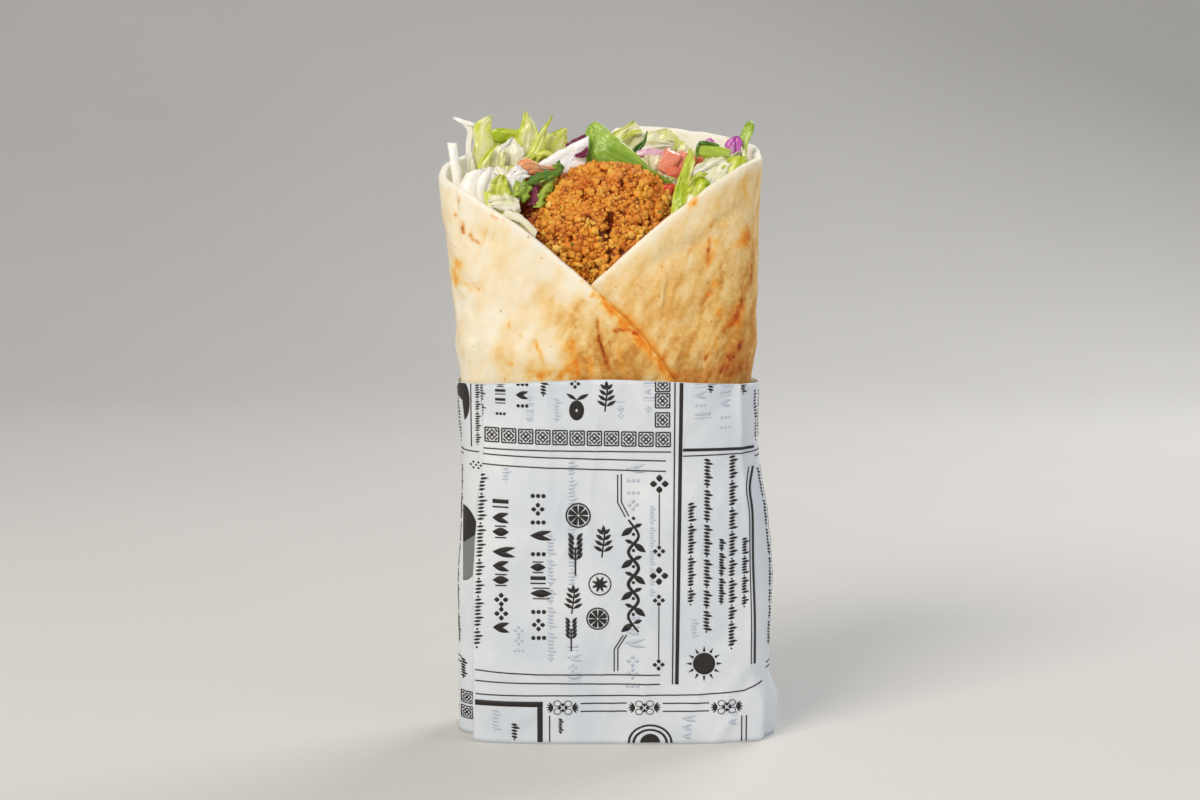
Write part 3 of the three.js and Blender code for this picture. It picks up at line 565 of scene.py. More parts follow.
SAUCE_MARKS = [
    (-5.3, 126.9, -0.3, 123.4, 0.7, 0.55), (-0.3, 123.4, 4.8, 119.6, 1.2, 0.85),
    (4.8, 119.6, 8.6, 115.4, 1.7, 0.9), (8.6, 115.4, 12.1, 110.8, 1.5, 0.85),
    (12.1, 110.8, 18.4, 103.6, 1.4, 0.75), (-10.1, 113.8, -9, 104, 0.8, 0.8),
    (-6, 109, -5.4, 104, 1, 0.55), (-20.3, 113.8, -19.2, 105.7, 0.45, 0.5),
    (-21, 104.4, -16.4, 105, 1.6, 0.55), (-13, 104.6, -10, 107.4, 2, 0.65),
    (-11, 112, -10.4, 104, 1.6, 0.5), (3, 111, 4.4, 104, 1, 0.35),
    (-42.7, 135, -43, 129.5, 1.3, 0.55), (24.2, 152, 23.6, 151.4, 1.4, 0.75),
    (22.8, 149.9, 22.7, 149.8, 0.4, 0.7), (38.7, 143, 38.2, 141, 2, 0.6),
    (40.1, 158.1, 40.4, 152.4, 1.2, 0.4), (30.2, 129.2, 31.2, 128.6, 0.9, 0.6),
    (27.6, 126.4, 27.8, 125.4, 1, 0.55), (30.6, 121, 33, 121.8, 0.9, 0.55),
    (31.6, 141.2, 29.4, 135, 1.1, 0.4), (30.4, 113, 31, 111.8, 1, 0.6),
    (-28.5, 117.8, -28.3, 117.6, 0.45, 0.7), (-24.7, 115.5, -24.5, 115.3, 0.4, 0.8),
    (-27.6, 107.6, -27, 107.6, 0.6, 0.5), (-41.2, 125.2, -41, 125, 0.5, 0.5),
    (-7.4, 132.2, -4.9, 127.7, 1.1, 0.4), (37.4, 122, 36, 118, 1.8, 0.6)]
GOLDEN_PATCHES = [
    (-12.5, 119, -8, 104, 4, 0.6), (-4, 118, 0, 104, 3, 0.5), (6, 112, 8, 104, 5, 0.3),
    (-18.1, 126.2, -14.6, 119.8, 3, 0.35), (-9, 123.4, -7.9, 124.8, 1.6, 0.45),
    (-35.3, 143.8, -35.2, 143.4, 2, 0.35), (-40.3, 129.7, -37.5, 127.9, 1, 0.4),
    (-22, 106, -30, 108, 4, 0.28), (3, 128, 8, 117, 3.4, 0.5), (14, 134.7, 26.4, 140.4, 2, 0.4),
    (31.7, 147, 38.3, 149.7, 1.6, 0.45), (17, 126, 16, 118, 2.6, 0.4), (24, 130, 30, 124, 4, 0.4),
    (34, 152, 33, 150, 2.5, 0.3)]
print("marks:", len(BROWN_MARKS), "brown,", len(SAUCE_MARKS), "of sauce")

# %% How gold, orange, brown and pale each point is, with painted shade in the gold
# wobbled places give the marks uneven edges
gritty = layered_noise(skin / 2.0, 3, 61)
warp = 0.8 * layered_noise(skin / 6, 2, 63)
x_seen, z_seen = place[..., 0] + warp + 0.35 * gritty, height + 0.7 * gritty
facing = smooth_step(place[..., 1] + 3 * warp, 9, -5)
outside = smooth_step(0.5 - depth, -0.1, 0.1)
# the dough is paler near its cut edge
below_edge = rim_height(walk) - height
towards_rim = smooth_step(below_edge, 0.5, 5)
pale = np.clip(1 - outside + 0.7 * (1 - smooth_step(below_edge, 0.5, 3.5)), 0, 1)
# gold of the left flap and the back, and gold with painted shade on the right one
to_middle = bump(place[..., 0], 4, 13) * smooth_step(height, 132, 106) * (walk > 1)
s = walk * QUARTER
streaky = spot((0.87 * s - 0.5 * height) / 2.4, (0.87 * height + 0.5 * s) / 7, 0)
rubbed = 0.5 + 0.5 * layered_noise(streaky, 3, 67)
to_right = smooth_step(place[..., 0], 2, 46) * (walk < 0)
on_right = smooth_step(-walk, 0.7, 1.1)
to_foot = smooth_step(height, 150, 104)
# on the right flap it deepens towards the right and the foot: partly toast, partly painted shade
gold_and_shade_share = np.maximum(strokes(x_seen, z_seen, GOLDEN_PATCHES),
                        (0.2 + 0.26 * to_right + 0.36 * to_foot + 0.36 * to_foot * to_right)
                        * on_right)
back_gold = 0.30 + 0.5 * layered_noise(skin / np.array([11.0, 15.0, 9.0]), 3, 71)
gold = gold_and_shade_share + np.where(walk > 1, 0.14 * rubbed + 0.56 * to_middle, 0)
gold = facing * gold + (1 - facing) * np.clip(back_gold, 0, 0.8)
gold = np.clip(gold * (0.6 + 0.8 * rubbed), 0, 1) * outside * (0.25 + 0.75 * towards_rim)
# oil along the left flap's edge, and smears of sauce
oily_edge = bump(below_edge, 0.9, 2.7) * smooth_step(x_seen, -8, 1) * (walk > 1.8)
oily_edge = oily_edge * (0.95 + 0.3 * gritty)
smears = np.maximum(strokes(x_seen, z_seen, SAUCE_MARKS), oily_edge)
sauce = np.clip(1.15 * smears * facing * outside * (0.85 + 0.4 * gritty), 0, 1)
gold = gold * (1 - 0.75 * sauce)
# brown spots, placed on the front and scattered over the back
spot_near, spot_size = cells(skin / 9.0, 77)
back_spots = smooth_step(0.16 + 0.12 * gritty + 0.3 * (spot_size - 0.6) - spot_near, 0, 0.12)
brown = facing * strokes(x_seen, z_seen, BROWN_MARKS) + (1 - facing) * 0.6 * back_spots
brown = np.clip(brown * outside * (0.85 + 0.5 * gritty), 0, 1)
print("mean gold", round(float(gold.mean()), 2), "and sauce", round(float(sauce.mean()), 3))


# %% Soft wheat dough, baked
STAINS = {
    # colours that a mark multiplies the dough with, from none of it to all of it
    "gold": [(0, "#ffffff"), (0.3, "#fbeac4"), (0.6, "#f0cd8a"), (1, "#d29a48")],
    "sauce": [(0, "#ffffff"), (0.3, "#fee6b0"), (0.6, "#fbbe5a"), (1, "#f0921e")],
    "brown": [(0, "#ffffff"), (0.3, "#f4cfa0"), (0.6, "#d08a4a"), (1, "#94460e")]}
CLOUD, SPECKLE, GRAIN, PIT = 17 * MM, 1.5 * MM, 4.2 * MM, 2.4 * MM  # widths of what noise draws


def baked_dough():
    """Cream dough, stained by the marks that the mesh keeps, with painted shade in the gold."""
    material, tree, surface = new_material("soft_wheat_flatbread_griddled")
    where = add_node(tree, "ShaderNodeTexCoord").outputs["Object"]
    marks = {name: add_node(tree, "ShaderNodeAttribute", {"attribute_name": name}).outputs["Fac"]
             for name in ("gold", "sauce", "brown", "pale")}
    clouds, speckle, pits = [
        add_node(tree, "ShaderNodeTexNoise", {"Scale": 1 / size, "Detail": detail,
                 "Roughness": rough}, Vector=where).outputs["Fac"]
        for size, detail, rough in ((CLOUD, 4, 0.55), (SPECKLE, 4, 0.65), (PIT, 6, 0.66))]
    cream = add_node(tree, "ShaderNodeValToRGB", {"stops": [
        (0.3, "#eae6ca"), (0.42, "#faf2de"), (0.55, "#f8ebce"), (0.7, "#f2dcae")]}, Fac=clouds)
    colour = add_node(tree, "ShaderNodeMix", {"data_type": "RGBA", 7: linear("#fffaee")},
                      Factor=marks["pale"], _6=cream.outputs[0])
    grains = add_node(tree, "ShaderNodeTexVoronoi", {"Scale": 1 / GRAIN}, Vector=where)
    speck = add_node(tree, "ShaderNodeValToRGB", {"stops": [(0.05, "#9a9a9a"), (0.11, "#000000")]},
                     Fac=grains.outputs["Distance"])
    marks["brown"] = add_node(tree, "ShaderNodeMath", {"operation": "ADD"}, _0=marks["brown"],
                              _1=speck.outputs[0]).outputs[0]
    grainy = add_node(tree, "ShaderNodeMath", {"operation": "MULTIPLY_ADD", 1: 1.3, 2: 0.35},
                      _0=speckle)
    for name, stops in STAINS.items():
        share = add_node(tree, "ShaderNodeMath", {"operation": "MULTIPLY", "use_clamp": True},
                         _0=marks[name], _1=grainy.outputs[0])
        stain = add_node(tree, "ShaderNodeValToRGB", {"stops": stops}, Fac=share.outputs[0])
        colour = add_node(tree, "ShaderNodeMix", {"data_type": "RGBA", "blend_type": "MULTIPLY",
                          "Factor": 1.0}, _6=colour.outputs[2], _7=stain.outputs[0])
    relief = add_node(tree, "ShaderNodeBump", {"Strength": 0.45, "Distance": 0.6 * MM},
                      Height=pits)
    set_node(surface, {"Roughness": 0.55, "IOR": 1.45, "Specular IOR Level": 0.35,
             "Subsurface Weight": 0.2, "Subsurface Radius": (1.0, 0.7, 0.4),
             "Subsurface Scale": 0.9 * MM}, Base_Color=colour.outputs[2], Normal=relief.outputs[0])
    return material


flatbread = mesh_object("flatbread_sheet", bread_points.reshape(-1, 3),
                        np.concatenate(bread_faces), baked_dough(), "bread", ["flatbread"])
for name, values in (("gold", gold), ("sauce", sauce), ("brown", brown), ("pale", pale)):
    paint(flatbread, name, values.ravel())
print("bread faces:", len(flatbread.data.polygons))

# %% [markdown]
# ## Paper sleeve
#
# The sleeve is thin greaseproof paper that goes a little more than once round the roll. It isn't
# smooth: it was crushed by hand, so it has long soft creases from top to bottom, small dents
# between them, one sharp crease down the right of the front and a pulled-out corner at the foot.
# Cloth simulation would crease it anywhere, so it is a grid again, moved by ridged noise. Ridged
# noise, one minus the size of smooth noise, has the sharp crests of a crease.

# %% Wind the paper
PAPER_SHARE = {"inner": 1.85, "outer": 2.63}  # quarters from the back to the sheet's two ends
PAPER_SHEET = 0.16  # thickness
CREASE_LIMITS, PRESSED_IN = (-0.8, 0.5), 0.45
EDGE_SLANT = 0.034  # how much further the free edge reaches at the foot, in quarters
CORNER = [
    # where the foot's pulled-out corner has a crest, half width in quarters, reach
    (-1.31, 0.1, 3.5), (-1.12, 0.1, 3.4)]
CORNER_HEIGHTS, CORNER_SHARES = (0, 1.5, 11, 18.5), (0.75, 0.92, 1.0, 0.0)
FOLD = {"walk": -1.34, "spread": 0.02, "rise": 0.5}
RAISED = [
    # from x, z to x, z, half width, height; in millimetres, seen from the front
    (35.9, 88, 40.3, 91.8, 1.3, 0.45), (29.5, 0.6, 33.3, 5.6, 1.6, 0.5),
    (36.6, 60, 39, 46, 1.4, 0.4), (31, 8, 37, 20, 1.8, 0.35), (-30, 3, -22, 9, 1.8, 0.35),
    (-22, 102, -25, 91, 1.5, 0.3), (8, 102, 11, 90, 1.6, 0.3), (-15, 68, 2, 46, 2.4, 0.3),
    (22, 62, 30, 44, 2, 0.3)]
SUNK = [
    (24, 21, 33, 33, 2.2, 0.4), (2, 1, 9, 5, 1.6, 0.3), (-34, 76, -28, 58, 1.8, 0.3),
    (-5, 102, -2, 89, 1.8, 0.35), (22, 87, 33, 98, 2, 0.35), (-27, 44, -13, 24, 2.2, 0.3)]


def paper_top(walk):
    """The height of the paper's top edge, which dips at both sides."""
    side = np.abs(np.sin(math.pi / 2 * walk)) ** 1.5
    return PAPER_TOP - PAPER_SIDE_DIP * side


def ridged_noise(points, size, seed):
    """Smooth noise folded into sharp crests, with a size for each direction."""
    return 1 - np.abs(smooth_noise(points / np.array(size), seed))


def creases(walk, z):
    """How far the crushed paper moves in and out, in millimetres."""
    place = spot(walk * QUARTER, z, 0)
    bend = 5 * smooth_noise(place / 30, 41)[..., None]
    slanted = place @ np.array([[0.94, 0.34, 0], [-0.34, 0.94, 0], [0, 0, 1]])
    tall = ridged_noise(place + bend, (13, 42, 9), 43)
    small = ridged_noise(slanted + bend, (7, 17, 9), 47)
    fine = ridged_noise(slanted - bend, (4.2, 9, 9), 53)
    dents = smooth_noise(place / np.array([11, 15, 9]), 49)
    return (0.55 * (tall ** 3 - 0.5) + 0.30 * (small ** 4 - 0.4) + 0.09 * (fine ** 4 - 0.4)
            + 0.22 * dents)


def pulled_corner(walk, z):
    """How far the foot's front right corner is pulled out: a flat fold and a facet behind it."""
    crests = sum(reach * np.clip(1 - np.abs(walk - at) / half, 0, 1) for at, half, reach in CORNER)
    return crests * np.interp(z, CORNER_HEIGHTS, CORNER_SHARES)


def paper_surface(walk, z, inset=0.0):
    """A place on the paper's outer face, inset into or out of it."""
    on_panel = smooth_step(-walk, 0.85, 1.2)[..., None]
    inner, inner_out = roll_point("inner", walk, z)
    panel, panel_out = roll_point("panel", walk, z)
    place = inner * (1 - on_panel) + panel * on_panel
    out = inner_out * (1 - on_panel) + panel_out * on_panel
    out /= np.linalg.norm(out, axis=-1, keepdims=True)
    stand_off = (PAPER_LAYER + GAP) * on_panel[..., 0]
    flat_foot = smooth_step(z, 0, 4)
    crease = np.clip(creases(walk, z), *CREASE_LIMITS) * (0.35 + 0.65 * flat_foot)
    moved = stand_off + crease - PRESSED_IN
    fold = bump(walk, FOLD["walk"], FOLD["spread"]) * smooth_step(z, 16, 30)
    crushed = strokes(place[..., 0], z, RAISED) - strokes(place[..., 0], z, SUNK)
    moved = moved + FOLD["rise"] * fold + crushed * smooth_step(-walk, 1.1, 1.3)
    corner = pulled_corner(walk, z)
    place = place + out * (moved - inset)[..., None]
    place[..., 0] += corner
    place[..., 1] -= 0.15 * corner
    place[..., 2] = np.maximum(place[..., 2], 0)
    return place


# %% Span the sheet
PAPER_COLUMNS, PAPER_ROWS = 440, 72


def free_edge(z):
    """Where the outer panel ends on the left, slanting a little towards the foot."""
    return -PAPER_SHARE["outer"] - EDGE_SLANT * smooth_step(-z, -86, -68)


paper_u, paper_v = np.meshgrid(np.linspace(0, 1, PAPER_COLUMNS), np.linspace(0, 1, PAPER_ROWS))
paper_z = PAPER_TOP * paper_v
paper_walk = PAPER_SHARE["inner"] + paper_u * (free_edge(paper_z) - PAPER_SHARE["inner"])
paper_z = paper_top(paper_walk) * paper_v
paper_front = paper_surface(paper_walk, paper_z)
paper_back = paper_surface(paper_walk, paper_z, PAPER_SHEET)
paper_points, paper_faces = shell(paper_front, paper_back)
print("the sheet is", round(QUARTER * float(np.ptp(paper_walk))), "mm long")


# %% [markdown]
# ## The paper's finish
#
# Greaseproof paper is wood pulp pressed so hard that it is nearly clear in places, so it looks a
# cool white with a faint gloss. A picture of paper would blur close up, so the finish is worked
# out: slow clouds tint the white, fibres under a millimetre roughen it, and ridged noise adds
# the finest wrinkles, too small for the mesh.

# %% Greaseproof paper
WAX, FIBRE, CRUMPLE = 22 * MM, 0.9 * MM, 15 * MM


def greaseproof_paper():
    """Cool white paper, with fibres and fine wrinkles."""
    material, tree, surface = new_material("bleached_greaseproof_paper")
    where = add_node(tree, "ShaderNodeTexCoord").outputs["Object"]
    wax, fibre, crumple = [
        add_node(tree, "ShaderNodeTexNoise", {"Scale": 1 / size, "Detail": detail, **more},
                 Vector=where).outputs["Fac"]
        for size, detail, more in ((WAX, 4, {}), (FIBRE, 5, {"Roughness": 0.6}),
                                   (CRUMPLE, 2, {"noise_type": "RIDGED_MULTIFRACTAL"}))]
    white = add_node(tree, "ShaderNodeValToRGB", {"stops": [
        (0.3, "#d2dbe4"), (0.55, "#e0e6ec"), (0.75, "#ebeff2")]}, Fac=wax)
    grain = add_node(tree, "ShaderNodeBump", {"Strength": 0.12, "Distance": 0.1 * MM},
                     Height=fibre)
    relief = add_node(tree, "ShaderNodeBump", {"Strength": 0.3, "Distance": 0.35 * MM},
                      Height=crumple, Normal=grain.outputs[0])
    set_node(surface, {"Roughness": 0.42, "IOR": 1.47, "Specular IOR Level": 0.4,
             "Subsurface Weight": 0.1, "Subsurface Radius": (0.6, 0.6, 0.7),
             "Subsurface Scale": 0.5 * MM}, Base_Color=white.outputs[0], Normal=relief.outputs[0])
    return material


greaseproof = greaseproof_paper()
paper = mesh_object("paper_sleeve_sheet", paper_points, paper_faces, greaseproof, "paper",
                    ["paper_sleeve"])
print("paper faces:", len(paper.data.polygons))


# %% [markdown]
# ## The sleeve's foot
#
# The end of the sheet is folded under in laps, so that nothing drips out. It hardly shows, so
# true folds would be wasted work. A thin disc with a low step where each lap ends is enough.

# %% Close the sleeve's foot
FOOT_COLUMNS, FOOT_ROWS = 160, 30
LAPS = [
    # way that the lap lies, axis, how far its edge is from the middle, seed of its wobble
    (1, 0, 12, 1), (-1, 0, 9, 2), (1, 1, 2, 3)]
LAP_RISE, FOOT_FLOOR = 0.15, 0.1


def paper_foot():
    """The sheet's end, folded under in laps, as a thin disc with low steps."""
    walk = np.linspace(1.99, -1.99, FOOT_COLUMNS)
    rim = paper_surface(walk, 0 * walk, PAPER_SHEET / 2)
    centre = np.array([rim[:, 0].mean(), rim[:, 1].mean(), 0])
    share = np.linspace(1, 0.01, FOOT_ROWS)[:, None]
    flat = centre + (rim - centre)[None] * share[..., None]
    laps = sum(smooth_step(side * flat[..., axis] - off + 3 * smooth_noise(flat / 20, seed),
                           -0.4, 0.4) for side, axis, off, seed in LAPS)
    flat[..., 2] = FOOT_FLOOR + LAP_RISE * laps
    return shell(flat, flat + np.array([0, 0, PAPER_SHEET]))


foot = mesh_object("paper_sleeve_foot", *paper_foot(), greaseproof, "paper", ["paper_sleeve"])
print("foot faces:", len(foot.data.polygons))

# %% [markdown]
# ## Print on the paper
#
# The paper is printed in warm black like an old almanac: rules, borders, ornaments and columns
# that run down the sleeve. No words are drawn. The fine columns are even stitches in groups,
# parted by dots, and the heavy ones are lenses, leaf pairs, stripes and petals. Ink is a skin
# that follows the paper, so each shape is a small grid of points. On the front, places are
# given as seen from there, by x and z, and found on the sheet by halving. Round the sides and
# back they are given on the unrolled sheet.

# %% Shapes of ink, as grids of points
INK_STEP = 0.8  # the longest side of a quad of ink
RULE, THIN_RULE, DOUBLE = 0.32, 0.28, 1.5  # two widths of rules, and the space between a pair
TILE, TILE_PITCH = 3.9, 4.73  # the border's square tiles


def middle_line(x0, z0, x1, z1, rows):
    """Steps from 0 to 1 between two points, the places there, and the way across."""
    t = np.linspace(0, 1, rows)[:, None]
    across = np.array([-(z1 - z0), x1 - x0]) / math.hypot(x1 - x0, z1 - z0)
    return t, np.stack([x0 + (x1 - x0) * t, z0 + (z1 - z0) * t], -1), across


def bar(x0, z0, x1, z1, width, end_width=None):
    """A straight stroke from one point to another, which may taper."""
    rows = max(1, math.ceil(math.hypot(x1 - x0, z1 - z0) / INK_STEP)) + 1
    t, centre, across = middle_line(x0, z0, x1, z1, rows)
    s = np.linspace(-0.5, 0.5, max(1, math.ceil(width / INK_STEP)) + 1)[None]
    wide = width + ((width if end_width is None else end_width) - width) * t
    return centre + (s * wide)[..., None] * across


def line(path, width, tip=1.0, step=0.7):
    """A curved stroke through a path of (x, z) points."""
    length = sum(math.dist(a, b) for a, b in zip(path, path[1:]))
    points, tangent = curve_through([(x, 0, z) for x, z in path], max(4, int(length / step)))
    t = np.linspace(0, 1, len(points))
    half = (width / 2 * (tip + (1 - tip) * np.sin(math.pi * t)))[:, None]
    across = np.stack([-tangent[:, 2], tangent[:, 0]], -1) * half
    centre = points[:, [0, 2]]
    return np.stack([centre - across, centre + across], axis=1)


def disc(x, z, wide, high, hole=0.0, start=0.0, sweep=2 * math.pi, turn=0.0, points=0, depth=0.0):
    """A disc, ring, slice or star, by its full width and height."""
    sides = max(8, int(2 * sweep * math.sqrt(max(wide, high)) + 6), 4 * points)
    angle = np.linspace(start, start + sweep, sides + 1)
    rings = max(1, math.ceil((1 - hole) * max(wide, high) / 2 / INK_STEP))
    share = np.linspace(max(hole, 0.02), 1, rings + 1)[:, None]
    reach = share * (1 - depth * (0.5 + 0.5 * np.cos(points * angle))[None] * (points > 0))
    flat_x, flat_z = reach * wide / 2 * np.cos(angle), reach * high / 2 * np.sin(angle)
    cosine, sine = math.cos(turn), math.sin(turn)
    return np.stack([x + flat_x * cosine - flat_z * sine, z + flat_x * sine + flat_z * cosine], -1)


def leaf_shape(x0, z0, x1, z1, width, rows=6):
    """A stroke with two pointed ends."""
    t, centre, across = middle_line(x0, z0, x1, z1, rows)
    half = width / 2 * np.sin(math.pi * np.clip(t, 0.02, 0.98))
    return centre + np.array([-1, 1])[None, :, None] * half[..., None] * across


# %% Ornaments
def bordered_square(x, z, size):
    """A frame round a diamond and four petals, of the kind used in borders."""
    h, r, thin = size / 2, 0.36 * size, 0.09 * size
    corners = [(x - h, z - h), (x + h, z - h), (x + h, z + h), (x - h, z + h)]
    middles = [(x, z - r), (x + r, z), (x, z + r), (x - r, z)]
    shapes = [bar(*a, *b, thin) for a, b in zip(corners, corners[1:] + corners[:1])]
    shapes += [bar(*a, *b, thin) for a, b in zip(middles, middles[1:] + middles[:1])]
    for dx, dz in ((1, 1), (1, -1), (-1, 1), (-1, -1)):
        shapes.append(leaf_shape(x + 0.85 * h * dx, z + 0.4 * h * dz, x + 0.4 * h * dx,
                                 z + 0.85 * h * dz, 0.13 * size))
        shapes.append(leaf_shape(x, z, x + 0.3 * h * dx, z + 0.3 * h * dz, 0.12 * size))
    return shapes


def floret(x, z, size):
    """Four petals round a point."""
    return [leaf_shape(x + 0.12 * size * dx, z + 0.12 * size * dz, x + 0.5 * size * dx,
                       z + 0.5 * size * dz, 0.34 * size)
            for dx, dz in ((1, 0), (-1, 0), (0, 1), (0, -1))]


def rosette(x, z, wide, high):
    """Four curls round a diamond, with rays at both ends."""
    shapes = [disc(x + sx * 0.17 * wide, z + sz * 0.25 * high, 0.24 * wide, 0.4 * high, 0.8)
              for sx in (-1, 1) for sz in (-1, 1)]
    shapes += floret(x, z, 0.3 * wide)
    for side in (-1, 1):
        for turn in (-0.9, -0.45, 0, 0.45, 0.9):
            reach = 0.22 * wide
            shapes.append(leaf_shape(
                x + side * 0.29 * wide, z, x + side * (0.29 * wide + reach * math.cos(turn)),
                z + reach * math.sin(turn), 0.06 * wide))
    return shapes


def sun(x, z, radius):
    """A disc with twelve pointed rays."""
    shapes = [disc(x, z, 1.24 * radius, 1.24 * radius)]
    for number in range(12):
        turn = 2 * math.pi * number / 12
        c, s = math.cos(turn), math.sin(turn)
        shapes.append(bar(x + 0.7 * radius * c, z + 0.7 * radius * s, x + radius * c,
                          z + radius * s, 0.16 * radius, 0.02))
    return shapes


def sprig_motif(x, z, size):
    """A stem with pairs of leaves."""
    shapes = [line([(x - 0.06 * size, z - 0.5 * size), (x, z), (x + 0.05 * size, z + 0.45 * size)],
                   0.05 * size)]
    for step in range(4):
        base = z - 0.3 * size + 0.2 * size * step
        for side in (-1, 1):
            shapes.append(leaf_shape(x, base, x + side * (0.34 - 0.04 * step) * size,
                                     base + 0.2 * size, 0.13 * size))
    return shapes + [leaf_shape(x, z + 0.36 * size, x, z + 0.62 * size, 0.13 * size)]


def citrus_motif(x, z, size):
    """A round slice with eight segments."""
    step = 2 * math.pi / 8
    return [disc(x, z, size, size, 0.88)] + [
        disc(x, z, 0.8 * size, 0.8 * size, 0.12, start=step * (number + 0.1), sweep=0.8 * step)
        for number in range(8)]


def grain_motif(x, z, size):
    """An ear of wheat."""
    shapes = [bar(x, z - 0.6 * size, x, z + 0.2 * size, 0.05 * size)]
    for step in range(5):
        base = z - 0.15 * size + 0.14 * size * step
        for side in (-1, 1):
            shapes.append(leaf_shape(x + side * 0.03 * size, base, x + side * 0.2 * size,
                                     base + 0.2 * size, 0.11 * size))
    return shapes


def olive_motif(x, z, size):
    """A stoned olive with two leaves."""
    return [disc(x, z - 0.1 * size, 0.62 * size, 0.84 * size, 0.16),
            leaf_shape(x, z + 0.34 * size, x + 0.5 * size, z + 0.58 * size, 0.17 * size),
            leaf_shape(x, z + 0.34 * size, x - 0.42 * size, z + 0.6 * size, 0.15 * size)]


# %% Columns without words
def stitch_line(x, top, bottom, size, heavy, seed):
    """A fine line that runs down the sleeve: slanting stitches in even groups, parted by dots."""
    draw, z, shapes = random.Random(seed), top, []
    lean, pitch = draw.choice((-0.13, 0.13)) * size, 0.3 * size
    while z - size > bottom:
        for number in range(draw.randint(4, 9)):
            tall = (0.85 if number % 4 == 1 else 0.6) * size
            shapes.append(leaf_shape(x, z, x + tall, z + lean, (0.18 + 0.1 * heavy) * size, 4))
            z -= pitch
            if z - pitch < bottom:
                break
        shapes.append(disc(x + 0.3 * size, z, 0.17 * size, 0.17 * size))
        z -= 1.1 * pitch
    return shapes


def ornament_line(x, top, bottom, size, seed):
    """A heavy border: lenses, leaf pairs, stripes and petals in groups, with gaps."""
    draw, z, shapes = random.Random(seed), top, []
    while z - 0.8 * size > bottom:
        for _ in range(draw.randint(3, 4)):
            kind = draw.choice("lpsfd")
            high, middle = draw.choice((0.68, 0.68, 0.95)) * size, z - 0.27 * size
            if kind == "l":
                shapes.append(leaf_shape(x, middle, x + high, middle, 0.36 * size))
                shapes += [bar(x + 0.1 * size, middle + side, x + high - 0.1 * size, middle + side,
                               0.05 * size) for side in (-0.24 * size, 0.24 * size)]
            elif kind == "p":
                shapes += [leaf_shape(x, middle, x + high, middle + side, 0.22 * size)
                           for side in (-0.2 * size, 0.2 * size)]
            elif kind == "s":
                shapes += [bar(x, middle + side, x + high, middle + side, wide * size)
                           for side, wide in ((0.1 * size, 0.17), (-0.14 * size, 0.06))]
            elif kind == "f":
                shapes += floret(x + 0.35 * size, middle, 0.6 * size)
            else:
                shapes += [disc(x + share * size, middle, 0.19 * size, 0.19 * size)
                           for share in (0.12, 0.36, 0.6)]
            z -= 0.6 * size
            if z - 0.5 * size < bottom:
                break
        z -= 0.25 * size
    return shapes


def vine(x, top, bottom, size, width):
    """A waving stem that runs down the sleeve, with leaves and berries."""
    halves = max(2, round((top - bottom) / (0.62 * size)))
    step = (top - bottom) / halves
    path = [(x + size * (0.5 + (0.2 if n % 2 else -0.2)), top - step * n)
            for n in range(halves + 1)]
    shapes = [line(path, width, 0.6, step=0.5)]
    for n, (px, pz) in enumerate(path[:-1]):
        side, middle = (1 if n % 2 else -1), pz - 0.45 * step
        shapes.append(leaf_shape(x + 0.5 * size, middle, x + (0.5 + 0.48 * side) * size,
                                 middle - 0.55 * step, 0.26 * size))
        shapes.append(leaf_shape(x + 0.5 * size, middle, x + (0.5 - 0.34 * side) * size,
                                 middle + 0.2 * step, 0.16 * size))
        shapes.append(disc(px - 0.2 * side * size, pz + 0.1 * step, 0.13 * size, 0.13 * size))
    return shapes


# %% Lay out the front
def slanted_line():
    """The line beside the free edge, which leans with it."""
    shapes = stitch_line(0, 75.8, 25.6, 3.4, 0.25, 7)
    for shape in shapes:
        shape[..., 0] += -36.4 + (shape[..., 1] - 75.8) * 0.036
    return shapes


